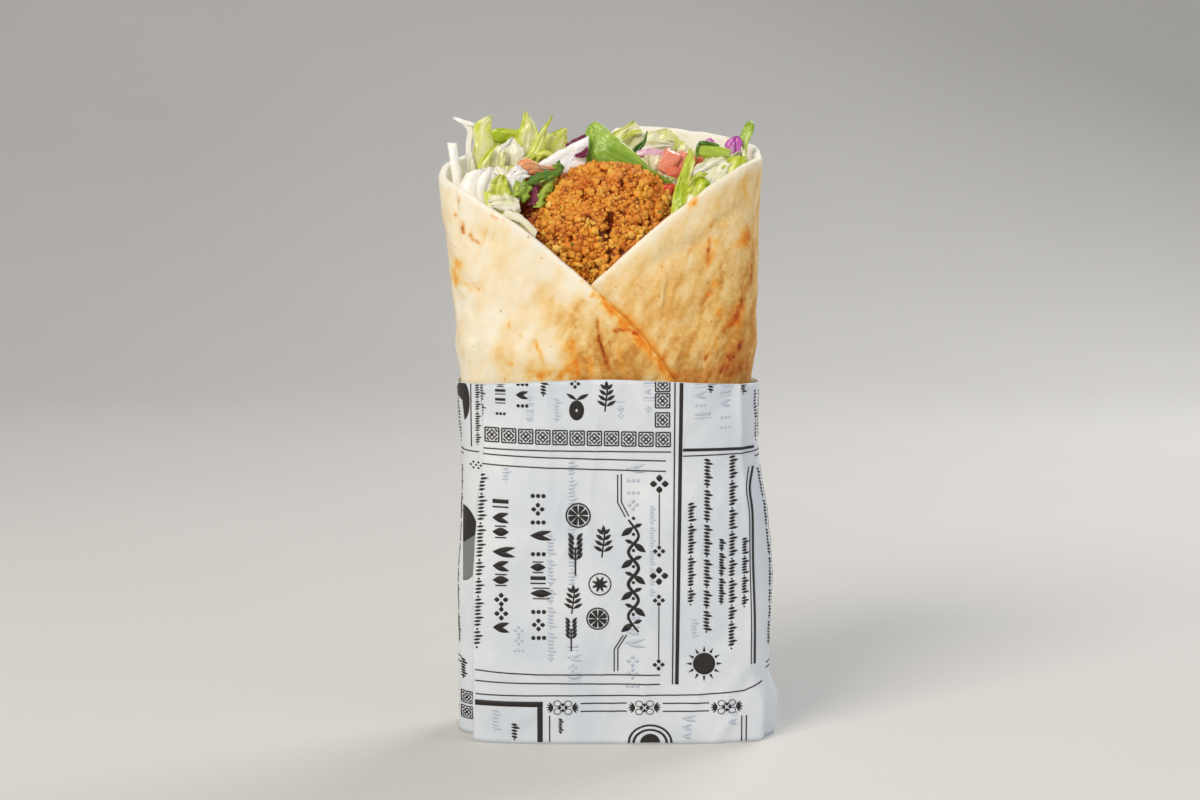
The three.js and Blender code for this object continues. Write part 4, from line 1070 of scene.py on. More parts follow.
def front_print():
    """The panel at the front, by x and z as seen."""
    shapes = [bar(19.8, 103, 18.9, 17.3, 1), bar(18, 103, 17.7, 17.3, 0.35)]
    for number in range(11):
        shapes += bordered_square(-32.5 + TILE_PITCH * number, 87.5 - 0.09 * number, TILE)
    for z in (101.9, 97.4, 92.1):
        shapes += bordered_square(14.6, z, TILE)
    for x0, z0, x1, z1 in ((-35, 83.6, 17, 83.1), (-35.1, 82, 15.6, 80.6),
                           (-35.6, 79.2, 15.6, 77.7), (-37.6, 20.8, -20.4, 20.1),
                           (-20.4, 20.1, 14.2, 20), (-37.6, 17.7, 14.2, 17.3),
                           (-37.6, 13.9, 21.8, 14.2), (21.8, 14.2, 37.9, 15),
                           (37.9, 15, 43.2, 16.9)):
        shapes.append(bar(x0, z0, x1, z1, RULE))
    shapes += stitch_line(-36.3, 103, 90.6, 2.6, 0.4, 1)
    shapes += ornament_line(-31.5, 103.2, 90.6, 4.2, 2)
    shapes += ornament_line(-25.7, 103.2, 90.6, 5, 3) + stitch_line(-19, 103.2, 98.6, 2.9, 0.9, 4)
    shapes += ornament_line(-11.1, 103.4, 98.6, 4.8, 6) + sprig_motif(-0.8, 98.2, 7.6)
    shapes += olive_motif(-9, 95.4, 6.6)
    shapes += slanted_line() + ornament_line(-32.4, 70.1, 31.6, 6.6, 8)
    shapes += ornament_line(-21.9, 72.5, 28.2, 6.2, 11) + vine(3.2, 64.2, 32.4, 7, 0.95)
    for side in (0, 1):
        for (x0, z0), (x1, z1) in (((2.3, 76.8), (2.3, 69)), ((2.3, 69), (4.4, 65)),
                                   ((3.9, 31.4), (1.4, 27.4)), ((1.4, 27.4), (1.4, 21))):
            shapes.append(bar(x0 + side, z0 + 0.2 * side, x1 + side, z1 + 0.2 * side, RULE))
    shapes += citrus_motif(-8.6, 65.4, 7) + sprig_motif(-1.6, 57.6, 8)
    shapes += grain_motif(-9.4, 54.4, 10) + disc_star(-2.6, 46, 6.4)
    shapes += sprig_motif(-10, 41.2, 7.4) + citrus_motif(-3.2, 36.2, 6.4)
    shapes += grain_motif(-10.6, 31.6, 8)
    shapes += floret(13.8, 74.2, 5.2) + floret(13.8, 48.4, 5.2)
    for z in (55.4, 41.4, 23):
        shapes += floret(13.8, z, 3.4)
    shapes += [bar(13.8, 71.4, 13.8, 57.2, THIN_RULE), bar(13.8, 39.6, 13.8, 24.8, THIN_RULE)]
    shapes += stitch_line(21.7, 68.3, 40, 3, 0.8, 13) + stitch_line(26.1, 80.8, 30, 3.2, 0.8, 14)
    shapes += stitch_line(30.4, 58.3, 39.9, 2.6, 1.1, 15) + stitch_line(33.2, 81, 27, 3.1, 0.8, 16)
    shapes += stitch_line(36.9, 58, 38.3, 2.6, 0.9, 17) + stitch_line(27, 103, 97.8, 2.9, 0.6, 18)
    shapes += stitch_line(36.4, 103, 98.6, 2.4, 0.9, 19)
    shapes += sun(26.5, 23.2, 5)
    shapes += [line([(40.2, 78), (39.2, 72), (40, 65), (40.2, 51), (40.8, 36),
                     (40.9, 22.4)], 0.6),
               line([(38.9, 78), (38.2, 72), (39.1, 65), (39.3, 51), (39.8, 36),
                     (39.9, 22.4)], 0.25)]
    shapes += [bar(-37.7, 11.5, -18.6, 11.5, 1.5), bar(-19.4, 10.8, -19.4, 0.6, 1.5)]
    for x in (-13, 9.9, 33):
        shapes += rosette(x, 10.6, 9, 4.6)
    for x0, x1 in ((-8, 4.9), (15, 28)):
        shapes += [bar(x0, z, x1, z + 0.1, RULE) for z in (11.8, 9.5)]
    shapes += [bar(-16.7, 8.2, -16.7, 0.6, RULE), bar(37.3, 7.8, 37.3, 0.4, RULE),
               bar(38.6, 7.8, 38.6, 0.4, RULE)]
    shapes += stitch_line(-27.5, 5.8, 0.5, 3, 0.7, 20) + stitch_line(-14.3, 7.3, 0.5, 2, 1, 21)
    for inset_by in (0, 1.3):
        shapes.append(disc(11.5, 0.4, 12.6 - 2 * inset_by, 10.6 - 2 * inset_by,
                           0.9 - 0.03 * inset_by, 0, math.pi))
    return shapes + [disc(11.5, 0.5, 5.6, 5, 0, 0, math.pi)]


def disc_star(x, z, size):
    """An eight-pointed star in a ring."""
    star = 0.74 * size
    return [disc(x, z, size, size, 0.9), disc(x, z, star, star, points=8, depth=0.55)]


HALF_DISC = (-41.4, 55.2, 10, 21.4)


def left_print():
    """The strip of the inner layer that shows at the front left."""
    shapes = [bar(-38.6, 102, -38.6, 83.2, THIN_RULE), bar(-42.4, 81.8, -36.4, 82, 0.3)]
    shapes += [disc(-41.2, 96, 4.4, 11.4, 0, -1.3, 2.6 + math.pi / 2)]
    shapes += stitch_line(-37.4, 102, 83.6, 2.2, 0.5, 30)
    shapes += [disc(-38.9 + dx, 78.1 + dz, 0.6, 0.6) for dx, dz in
               ((0, 0), (1.6, 0), (3, 0), (0.8, 0.8), (2.3, 0.8), (0.8, -0.8), (2.3, -0.8))]
    shapes += stitch_line(-42.4, 21.5, 14, 2.6, 0.9, 31)
    shapes.append(disc(*HALF_DISC, 0, 0.35, math.pi / 2 - 0.35))
    for z in (10.6, 6.2):
        shapes += bordered_square(-40.6, z, 3.4)
    return shapes


print("front print:", len(front_print()), "shapes")

# %% Lay out the sides and back
COLUMN = 24.6  # width of a column on the unrolled sheet
ROW_TOPS = (80.6, 20.4)  # the rules that part the columns' three fields


def back_print():
    """Five columns between rules, on the unrolled sheet, and narrow ones beside the front."""
    shapes, draw = [], random.Random(7)
    fold, edge = sheet_place(20.3, 83.6)[0], -73.8
    shapes += [bar(fold, 83.6, edge, 83.3, 0.8), bar(fold, 81.9, edge, 82.1, 0.3)]
    for x, seed in ((-73.2, 601), (-68.8, 602), (64.2, 603)):
        shapes += stitch_line(x, 77, 26, 3, 0.3 + 0.5 * (seed % 2), seed)
        shapes += stitch_line(x, 98.6, 84, 3, 0.8 - 0.5 * (seed % 2), seed + 10)
        for z in ROW_TOPS:
            shapes += [bar(x - 0.6, z + side, x + 3.6, z + side, RULE) for side in (0, DOUBLE)]
    for number, left in enumerate(np.arange(-62, 50, COLUMN)):
        shapes.append(bar(left, 99.6, left, 0.5, 0.9 if number % 2 else 0.35))
        if number % 2:
            shapes.append(bar(left + 1.3, 99.6, left + 1.3, 0.5, 0.3))
        for z in ROW_TOPS:
            shapes += [bar(left + 2.4, z + side, left + COLUMN - 1.2, z + side, RULE)
                       for side in (0, DOUBLE)]
        x = left + 3.4
        for step, size in enumerate((4.6, 5, 2.9, 3)):
            make = ornament_line if size > 4 else stitch_line
            more = () if size > 4 else (0.6,)
            shapes += make(x, 99, 83.6, size, *more, 100 + 10 * number + step)
            x += size + 1.1
        if number % 2:
            shapes += ornament_line(left + 3.6, 77, 24, 6, 200 + number)
            for step, motif in enumerate((citrus_motif, sprig_motif, grain_motif, disc_star)):
                shapes += motif(left + 15, 72 - 13.4 * step, 7)
            shapes += floret(left + 21.4, 73, 4.4) + floret(left + 21.4, 28, 4.4)
            shapes.append(bar(left + 21.4, 70.4, left + 21.4, 30.6, THIN_RULE))
            for step in range(4):
                shapes += bordered_square(left + 5.2 + TILE_PITCH * step, 14.6, TILE)
            shapes += stitch_line(left + 4, 10.6, 0.6, 3, 0.7, 300 + number)
            shapes += ornament_line(left + 9.4, 10.6, 0.6, 4.6, 310 + number)
            shapes += stitch_line(left + 17, 10.6, 0.6, 2.8, 0.3, 320 + number)
        else:
            for step in range(5):
                shapes += stitch_line(left + 3.4 + 4.1 * step, 78, 23.4 + 6 * draw.random(), 3,
                                    draw.choice((0.3, 0.8)), 400 + 10 * number + step)
            shapes += rosette(left + 12.4, 15.6, 9, 4.6)
            shapes += [bar(left + 3, 15.6, left + 7, 15.6, RULE),
                       bar(left + 17.8, 15.6, left + 22, 15.6, RULE)]
            shapes += ornament_line(left + 4, 11.4, 0.6, 5, 500 + number)
            shapes += stitch_line(left + 12.2, 11.4, 0.6, 3.2, 0.9, 510 + number)
            shapes += stitch_line(left + 17.6, 11.4, 0.6, 3.2, 0.3, 520 + number)
    return shapes


# %% Lay the ink on the paper
INK_RISE, GHOST_RISE, INK_SINK = 0.1, 0.05, 0.04  # how far ink stands out of and into the paper
PANEL_SPAN, LEFT_SPAN = (-2.7, -1.0), (1.0, 1.84)  # the walks where places on the front are sought


def walk_at(x, z, low, high):
    """Finds by halving where along the sheet its face has this x."""
    low, high = np.full_like(x, low), np.full_like(x, high)
    for _ in range(14):
        middle = (low + high) / 2
        beyond = paper_surface(middle, z)[..., 0] > x
        low, high = np.where(beyond, low, middle), np.where(beyond, middle, high)
    return (low + high) / 2


def sheet_place(x, z):
    """Where a place seen on the front panel lies on the unrolled sheet."""
    return QUARTER * float(walk_at(np.array([x]), np.array([z]), *PANEL_SPAN)[0]), z


def on_paper(shapes, find_walk, rise):
    """Closed thin shells of all shapes, as points and quads."""
    flat = np.concatenate([grid.reshape(-1, 2) for grid in shapes])
    z = np.clip(flat[:, 1], 0.3, 200)
    walk = find_walk(flat[:, 0], z)
    z = np.minimum(z, paper_top(walk) - 0.15)
    front, back = paper_surface(walk, z, -rise), paper_surface(walk, z, INK_SINK)
    shells, start = [], 0
    for grid in shapes:
        size = grid.shape[0] * grid.shape[1]
        pick = slice(start, start + size)
        shape = grid.shape[:2] + (3,)
        one, two = (grid[0, 1] - grid[0, 0]), (grid[1, 0] - grid[0, 0])
        sheets = [front[pick].reshape(shape), back[pick].reshape(shape)]
        if one[0] * two[1] - one[1] * two[0] > 0:
            sheets = [sheet[:, ::-1] for sheet in sheets]
        shells.append(shell(*sheets))
        start += size
    return joined(shells)


def printed(name, shapes_by_place, material, rise=INK_RISE):
    """One piece of ink from shapes on the panel, on the left strip and on the sheet."""
    finders = {"panel": lambda x, z: np.maximum(walk_at(x, z, *PANEL_SPAN), free_edge(z) + 0.004),
               "left": lambda x, z: walk_at(x, z, *LEFT_SPAN),
               "sheet": lambda x, z: x / QUARTER}
    points, faces = joined([on_paper(shapes, finders[place], rise)
                            for place, shapes in shapes_by_place.items()])
    piece = mesh_object(name, points, faces, material, "paper", ["paper_sleeve"])
    print(name, "has", len(piece.data.polygons), "faces")


def printing_ink(name, colour):
    """A flat, dull ink."""
    material, _, surface = new_material(name)
    set_node(surface, {"Base Color": linear(colour), "Roughness": 0.55, "Specular IOR Level": 0.3})
    return material


printed("print_in_black", {"panel": front_print(), "left": left_print(), "sheet": back_print()},
        printing_ink("news_ink_black", "#2c2826"))
printed("print_in_grey", {"left": [disc(*HALF_DISC, 0, -math.pi / 2, math.pi / 2 + 0.35)]},
        printing_ink("news_ink_grey", "#7d827f"))


# %% [markdown]
# ## Print seen through the paper
#
# The sheet goes round more than once and is thin, so the print of the layer behind shows pale
# through the front. Light could be traced through both layers, but that is slow and noisy. The
# pale columns are a fainter ink of their own instead, in the gaps of the front's print.

# %% The next layer's print, seen through the paper
def ghost_print():
    """Pale columns behind the front panel, as its second layer is printed too."""
    shapes = ornament_line(23.4, 103, 89, 4.8, 41) + ornament_line(30.4, 103, 87, 4.6, 42)
    shapes += ornament_line(9.4, 103, 92.5, 3.4, 43) + ornament_line(2, 98, 91.6, 3.2, 44)
    shapes += ornament_line(-23, 99, 91.2, 3.2, 45) + stitch_line(-15.5, 98, 91.6, 3, 0.8, 46)
    shapes += stitch_line(-11.4, 80, 44, 3.4, 0.9, 47) + ornament_line(4.6, 80, 64, 5.6, 48)
    shapes += stitch_line(-17.4, 60, 22.4, 3.4, 0.9, 49) + ornament_line(-11.8, 29, 14.6, 4.6, 50)
    shapes += ornament_line(4.4, 38, 14.6, 6, 51) + stitch_line(-29.6, 78, 70.6, 3.2, 0.9, 52)
    shapes += ornament_line(-27, 34, 21.4, 4.8, 53) + stitch_line(11, 68, 42, 2.4, 0.9, 54)
    shapes += ornament_line(33.4, 12, 1, 4, 55) + stitch_line(22.6, 36, 30, 3, 0.9, 56)
    return shapes + stitch_line(-33, 9.6, 1, 3.4, 0.9, 57) + ornament_line(20.4, 8.6, 1, 4.2, 58)


printed("print_seen_through", {"panel": ghost_print()},
        printing_ink("ink_behind_paper", "#cad3df"), GHOST_RISE)

# %% [markdown]
# ## Falafel
#
# A falafel is ground chickpea and herbs, shaped into a ball and deep fried, so its crust is a
# crowd of crumbs from half a millimetre to nearly three, with gaps between them. A bump map
# alone would leave its outline smooth. Instead a fine ball is pushed out in cells of four sizes,
# with small nuggets sunk in it, and the mesh keeps the depth of its gaps for painted shade.

# %% Crumbs on a ball
CRUST_SINK, SWELL = 0.75, 0.45  # keep the crumbs' tops near the solid, over a slow swell
FALAFEL = {"at": (-0.3, -6.9, 142.9), "half": (22.3, 14.2, 19.9)}
SECOND_FALAFEL = {"at": (-19.2, -4.0, 143.0), "half": (8.8, 9.6, 11.5)}
CRUMB_SIZES = [
    # cell in millimetres, height of a crumb, share of cells that hold one
    (2.6, 0.8, 0.35), (1.7, 0.65, 0.6), (1.1, 0.50, 0.8), (0.7, 0.32, 1.0)]


def ball(subdivisions, crowd=0.0):
    """Points and triangles of a fine ball of radius 1, crowded towards the front."""
    sphere = bmesh.new()
    bmesh.ops.create_icosphere(sphere, subdivisions=subdivisions, radius=1.0)
    points = np.array([vertex.co[:] for vertex in sphere.verts])
    faces = np.array([[vertex.index for vertex in face.verts] for face in sphere.faces])
    sphere.free()
    points = points + np.array([0, -crowd, 0])
    return points / np.linalg.norm(points, axis=1, keepdims=True), faces


def crumb_height(skin, seed, dents):
    """Height of the crust, the depth of its gaps for painted shade, and a tint for each crumb."""
    bend = 0.35 * np.stack([smooth_noise(skin / 0.9, seed + axis) for axis in range(3)], -1)
    height, tint = np.zeros(len(skin)), np.full(len(skin), 0.3)
    for step, (size, rise, share) in enumerate(CRUMB_SIZES):
        near, number = cells((skin + bend * size / 2) / size, seed + 10 * step)
        dome = np.sqrt(np.clip(1 - (near / (0.52 + 0.2 * number)) ** 2, 0, 1)) * (number < share)
        top = rise * dome * (0.7 + 0.3 * (7 * number % 1)) + 0.25 * height
        tint = np.where(top > height, 0.2 + 0.4 * ((13 * number) % 1), tint)
        height = np.maximum(height, top)
    # how deep each place lies between crumbs, which the material turns into painted shade
    gaps = np.clip(1 - height / 0.7, 0, 1)
    height = height + SWELL * smooth_noise(skin / 4.5, seed + 40)
    # each pit is sunk and given painted shade as well
    for place, depth, width in dents:
        dip = np.exp(-(np.linalg.norm(skin - np.array(place), axis=1) / width) ** 2)
        height -= depth * dip
        gaps = np.clip(gaps + 0.8 * dip, 0, 1)
    return height - CRUST_SINK, gaps, tint


# %% Loose crumbs
def loose_crumbs(half, count, seed, dents):
    """Small uneven nuggets, half sunk in the crust, all as one mesh.

    They start on a spiral of even steps round the ball, and chance moves them a little."""
    draw = np.random.default_rng(seed)
    turn = np.arange(count) * math.pi * (3 - math.sqrt(5))
    lift = 1 - 2 * (np.arange(count) + 0.5) / count
    flat = np.sqrt(1 - lift ** 2)
    direction = np.stack([flat * np.cos(turn), flat * np.sin(turn), lift], 1)
    direction += draw.normal(0, 0.6 / math.sqrt(count), (count, 3)) - np.array([0, 0.35, 0])
    direction /= np.linalg.norm(direction, axis=1, keepdims=True)
    skin = direction * np.array(half)
    height, _, _ = crumb_height(skin, seed, dents)
    shown = (direction[:, 1] < 0.3) | (direction[:, 2] > 0.45)
    for place, _, width in dents:
        shown &= np.linalg.norm(skin - np.array(place), axis=1) > 0.8 * width
    direction, skin, height = direction[shown], skin[shown], height[shown]
    count = len(skin)
    size = 0.4 + 0.85 * draw.random(count) ** 2.2
    nugget, nugget_faces = ball(2)
    stretch = draw.uniform(0.65, 1.35, (count, 1, 3))
    shape = nugget[None] * stretch * (1 + 0.24 * draw.normal(0, 1, (count, len(nugget), 1)))
    centre = skin + direction * (height - 0.1 * size)[:, None]
    points = (centre[:, None] + shape * size[:, None, None]).reshape(-1, 3)
    faces = (nugget_faces[None] + len(nugget) * np.arange(count)[:, None, None]).reshape(-1, 3)
    # the side of each nugget that faces into the crust gets painted shade
    outward = np.sum(shape * direction[:, None], axis=2) / 1.2
    gaps = np.clip(0.42 - 0.8 * outward, 0, 1).ravel()
    tint = 0.46 + 0.34 * smooth_noise(skin / 3.4, seed) + 0.14 * draw.normal(0, 1, count)
    return points, faces, gaps, np.repeat(np.clip(tint, 0, 1), len(nugget))


def fried_ball(at, half, subdivisions, crumbs, seed, dents):
    """A craggy ball and its loose crumbs: points, faces, gaps and tints, as two forms."""
    direction, faces = ball(subdivisions, crowd=0.4)
    skin = direction * np.array(half)
    height, gaps, tint = crumb_height(skin, seed, dents)
    body = skin + direction * height[:, None] + np.array(at), faces, gaps, tint
    points, *rest = loose_crumbs(half, crumbs, seed, dents)
    return body, (points + np.array(at), *rest)


# %% Pits of the whole falafel
PITS = [
    # x and z from the ball's middle, depth, width
    (0.6, 5.6, 1.6, 1.1), (0.5, 4, 2, 1.2), (0.3, 2.2, 2, 1.2), (0, 0.4, 1.8, 1.2),
    (-0.3, -1.6, 1.5, 1.1), (-2.2, 0.3, 1.4, 1), (-5.6, 3, 1.5, 0.9), (-5.5, 4.8, 1.2, 0.9),
    (-10.5, -0.7, 2.2, 1), (-10.1, -1.9, 1.4, 0.8), (-6.6, 11, 1.7, 1), (-2.1, 14.7, 1.3, 1),
    (4.3, 14.4, 1.6, 1), (6, 14.8, 1.2, 0.9), (4.5, 5.7, 1.5, 0.9), (11.9, 3.6, 1.8, 1),
    (6.2, -1.1, 1.5, 1), (9.2, 2.3, 1.4, 0.8), (0.2, -5.4, 1.5, 0.9), (0.1, -7.4, 1.3, 0.9),
    (-13.7, -5.8, 1.3, 0.9), (-11.8, -6.9, 1.3, 0.8), (-7.7, -7.1, 1.4, 1), (-3.6, -9, 1.5, 1),
    (-5.2, -10.1, 1.4, 1), (12.7, 8.6, 1.2, 0.9), (7.5, 11, 1.3, 0.9), (0.8, 12.1, 1.1, 0.8),
    (3.7, -5, 1.1, 0.9), (-14.8, -1.7, 1.2, 0.9), (-3.9, 8.6, 1.1, 0.9), (9.7, 12.1, 1.1, 0.9)]


def on_face(x, z):
    """The place on the front of the whole ball, from its middle."""
    half_x, half_y, half_z = FALAFEL["half"]
    return x, -half_y * math.sqrt(1 - (x / half_x) ** 2 - (z / half_z) ** 2), z


FACE_DENTS = [(on_face(x, z), depth, width) for x, z, depth, width in PITS]
print("pits:", len(FACE_DENTS), "and the deepest is", max(row[1] for row in FACE_DENTS), "mm")


# %% [markdown]
# ## The crust's finish
#
# Frying browns the tops of the crumbs, with flecks of green herb; the gaps get painted shade.
# Plain noise can't know where a crumb is, so each crumb's tint and each gap's depth come from the
# mesh. Noise adds what is larger and smaller: patches of browning 7 mm wide, and grit.

# %% Fried chickpea crust
BROWNED = [(0.3, "#dcb0a0"), (0.42, "#f2d4b4"), (0.52, "#ffffff"), (0.68, "#fff2b8")]
PATCH, GRIT, HERB = 7 * MM, 0.45 * MM, 5.2 * MM


def fried_crust(name, crumbs, gap_shade):
    """Crumbs in their own tints, with painted shade in the gaps between them and flecks of herb.
    """
    material, tree, surface = new_material(name)
    where = add_node(tree, "ShaderNodeTexCoord").outputs["Object"]
    gaps, tint = [add_node(tree, "ShaderNodeAttribute", {"attribute_name": kept}).outputs["Fac"]
                  for kept in ("gaps", "tint")]
    patches, grit = [
        add_node(tree, "ShaderNodeTexNoise", {"Scale": 1 / size, "Detail": detail,
                 "Roughness": rough}, Vector=where).outputs["Fac"]
        for size, detail, rough in ((PATCH, 3, 0.5), (GRIT, 4, 0.7))]
    herbs = add_node(tree, "ShaderNodeTexVoronoi", {"Scale": 1 / HERB}, Vector=where)
    # painted shade: the deeper a gap, with some grit added, the darker the crust there
    deep = add_node(tree, "ShaderNodeMath", {"operation": "MULTIPLY_ADD", 1: 0.6, 2: -0.3},
                    _0=grit)
    depth = add_node(tree, "ShaderNodeMath", {"operation": "ADD", "use_clamp": True},
                     _0=gaps, _1=deep.outputs[0])
    crumb, browned, green_share, shadow = [
        add_node(tree, "ShaderNodeValToRGB", {"stops": stops}, Fac=source).outputs[0]
        for stops, source in (
            (crumbs, tint), (BROWNED, patches),
            ([(0.07, "#ffffff"), (0.12, "#000000")], herbs.outputs["Distance"]),
            ([(0.3, "#ffffff"), (0.62, "#d8ae7e"), (1, gap_shade)], depth.outputs[0]))]
    base = add_node(tree, "ShaderNodeMix", {"data_type": "RGBA", "blend_type": "MULTIPLY",
                    "Factor": 0.8}, _6=crumb, _7=browned)
    with_herbs = add_node(tree, "ShaderNodeMix", {"data_type": "RGBA", 7: linear("#566a22")},
                          Factor=green_share, _6=base.outputs[2])
    dark = add_node(tree, "ShaderNodeMix", {"data_type": "RGBA", "blend_type": "MULTIPLY",
                    "Factor": 1.0}, _6=with_herbs.outputs[2], _7=shadow)
    relief = add_node(tree, "ShaderNodeBump", {"Strength": 0.45, "Distance": 0.2 * MM},
                      Height=grit)
    set_node(surface, {"Roughness": 0.5, "Specular IOR Level": 0.35, "Subsurface Weight": 0.25,
             "Subsurface Radius": (1.0, 0.5, 0.15), "Subsurface Scale": 0.9 * MM},
             Base_Color=dark.outputs[2], Normal=relief.outputs[0])
    return material


golden_crust = fried_crust("fried_chickpea_golden", [
    (0, "#ce6e2a"), (0.15, "#e28d2e"), (0.45, "#f0aa40"), (0.75, "#f8c054"), (1, "#fed070")],
    "#7e5634")
# the left falafel lies in shadow, so its crust is a darker copy: painted shade
shaded_crust = fried_crust("fried_chickpea_shaded", [
    (0.1, "#96441a"), (0.4, "#b65a26"), (0.7, "#cc7234"), (0.95, "#dc9a56")], "#74360f")

for name, form, crumbs, crust, node in (
        ("front", FALAFEL, {"subdivisions": 7, "crumbs": 1900, "seed": 3, "dents": FACE_DENTS},
         golden_crust, "falafel_front"),
        ("left", SECOND_FALAFEL, {"subdivisions": 6, "crumbs": 320, "seed": 19, "dents": []},
         shaded_crust, "falafel_left")):
    for kind, made in zip(("crust", "crumbs"), fried_ball(**form, **crumbs)):
        points, faces, gaps, tint = made
        piece = mesh_object(f"falafel_{kind}_{name}", points, faces, crust, "falafel", [node])
        paint(piece, "gaps", gaps)
        paint(piece, "tint", tint)
        print("falafel", kind, name, len(piece.data.polygons))

# %% [markdown]
# ## Leaves, shreds and chunks
#
# Most things in the roll are one of three forms. A leaf is a thin sheet spanned between its two
# edges, so that its outline can be as ragged as a torn one's. A shred is a ribbon along a path.
# A lump is an uneven ball, for diced tomato. Given more thickness, a leaf also makes a slab, as
# of cucumber or the white rib of a cabbage. Forms of one kind are gathered and joined as one
# mesh, and each point keeps a shade, from pale to deep, for the material to read.

# %% What leaves and shreds share
def veins(v, side, length, width, seed):
    """Paler and deeper streaks of a leaf, which branch from its middle."""
    fan = v * length / 2.4 - 1.1 * np.abs(side) * width / 2.4
    place = spot(3 * v, 2 * side, seed)
    branch = np.abs(np.sin(math.pi * fan + 0.7 * smooth_noise(place, seed))) ** 8
    flow = spot(side * width / 0.9, v * length / 7, seed)
    cloud = spot(side * width / 2.5, v * length / 4, seed + 7)
    return 0.05 * smooth_noise(flow, seed + 2) + 0.13 * smooth_noise(cloud, 3) - 0.05 * branch


def unit_grid(rows, columns):
    """For a grid of points, the shares from root to tip and the sides from -1 to 1."""
    return np.meshgrid(np.linspace(0, 1, rows), np.linspace(-1, 1, columns), indexing="ij")


def edge_wave(v, side, length, wave, seed):
    """The swing of a ruffled edge, a little out of step on its two sides."""
    return np.sin(2 * math.pi * v * length / wave + 1.7 * seed + np.where(side > 0, 2.1, 0))


def close_sheet(middle, thick, side):
    """Gives a grid of points its thickness, thinner at the edges, and closes it."""
    down, across = np.gradient(middle, axis=0), np.gradient(middle, axis=1)
    normal = np.cross(down, across)
    normal /= np.maximum(np.linalg.norm(normal, axis=-1, keepdims=True), 1e-9)
    half = (thick / 2 * (1 - 0.55 * side ** 4))[..., None]
    points, quads = shell(middle - normal * half, middle + normal * half)
    return points, np.concatenate([quads[:, [0, 1, 2]], quads[:, [0, 2, 3]]])


def finished_form(middle, thick, v, side, length, width, seed):
    """A closed sheet, with what its shades need: shares, sides and streaks of its points."""
    kept = (v, side, veins(v, side, length, width, seed))
    return *close_sheet(middle, thick, side), *[np.tile(grid.ravel(), 2) for grid in kept]


# %% A leaf between two edges
def leaf_between(left, right, y, thick=0.35, cup=0.3, ruffle=0.2, wave=5.0, jag=0.15, fold=0.3,
                 crumple=0.14, seed=0, rows=38, columns=15):
    """A leaf between two edges of (x, z) points, from root to tip, at depths y from root to tip.

    Cup pushes its middle to the front, ruffle waves its edges, jag tears them, fold lays
    creases from root to tip, and crumple makes small dents."""
    first, _ = curve_through([(px, 0, pz) for px, pz in left], rows)
    second, _ = curve_through([(px, 0, pz) for px, pz in right], rows)
    v, side = unit_grid(rows, columns)
    width = np.linalg.norm(second - first, axis=1).max()
    length = np.linalg.norm(np.diff((first + second) / 2, axis=0), axis=1).sum()
    torn = spot(v * length / 1.1, np.sign(side) * 3, seed)
    reach = 1 + 2 * jag / max(width, 1) * layered_noise(torn, 2, seed) * np.abs(side)
    share = (0.5 + 0.5 * side * reach)[..., None]
    middle = first[:, None] * (1 - share) + second[:, None] * share
    depth = np.interp(v, np.linspace(0, 1, len(y)), y)
    depth = depth - cup * (1 - side ** 2) * np.minimum(1, 3 * (1 - v) + 0.2)
    place = spot(side * width / 2.6, v * length / 9, seed)
    crest = 1 - 2 * np.abs(smooth_noise(place, seed + 4))
    dents = spot(side * width / 1.6, v * length / 2.2, seed)
    depth = depth - fold * crest + crumple * layered_noise(dents, 2, seed + 5)
    swing = edge_wave(v, side, length, wave, seed)
    middle[..., 1] = depth + ruffle * np.abs(side) ** 1.5 * swing
    return finished_form(middle, thick, v, side, length, width, seed)


# %% Shreds along a path, and lumps
# share of a shred's width at its root, its cup as a share of its width, and its wave in mm
SHRED_ROOT, SHRED_CUP, SHRED_WAVE = 0.6, 0.1, 5.0


def shred(path, wide, face=(0, -1, 0), thick=0.5, tip=0.2, ruffle=0.3, twist=0.0, seed=0, rows=22,
          columns=7):
    """A ribbon along a path of points, whose broad side looks along face."""
    centre, tangent = curve_through(path, rows)
    sideways = np.cross(tangent, np.asarray(face, float))
    sideways /= np.linalg.norm(sideways, axis=1, keepdims=True)
    normal = np.cross(sideways, tangent)
    v, side = unit_grid(rows, columns)
    cosine, sine = np.cos(twist * v)[..., None], np.sin(twist * v)[..., None]
    across = sideways[:, None] * cosine + normal[:, None] * sine
    upward = normal[:, None] * cosine - sideways[:, None] * sine
    length = np.linalg.norm(np.diff(centre, axis=0), axis=1).sum()
    ends = np.where(v < 0.5, SHRED_ROOT, tip)
    belly = np.sin(math.pi * np.clip(0.1 + 0.88 * v, 0, 1)) ** 0.75
    half = wide / 2 * (ends + (1 - ends) * belly)
    swing = edge_wave(v, side, length, SHRED_WAVE, seed)
    lift = SHRED_CUP * wide * (side ** 2 - 0.5) + ruffle * np.abs(side) ** 1.6 * swing
    middle = centre[:, None] + across * (side * half)[..., None] + upward * lift[..., None]
    return finished_form(middle, thick, v, side, length, wide, seed)


LUMP_SPLITS = 4


def lump(at, half, turn, rough, wave, square, seed):
    """An uneven chunk. Square draws it out towards a cube."""
    direction, faces = ball(LUMP_SPLITS)
    boxy = direction / np.maximum(np.abs(direction).max(axis=1, keepdims=True), 1e-6)
    skin = (direction * (1 - square) + boxy * square * 0.8) * np.array(half)
    swell = 1 + rough * layered_noise(skin / wave + seed, 3, seed)
    spin = np.array(Euler(turn).to_matrix())
    points = (skin * swell[:, None]) @ spin.T + np.array(at)
    streak = 0.1 * layered_noise(skin / 1.5, 2, seed)
    return points, faces, 0.5 + 0.5 * direction[:, 2], direction[:, 1], streak


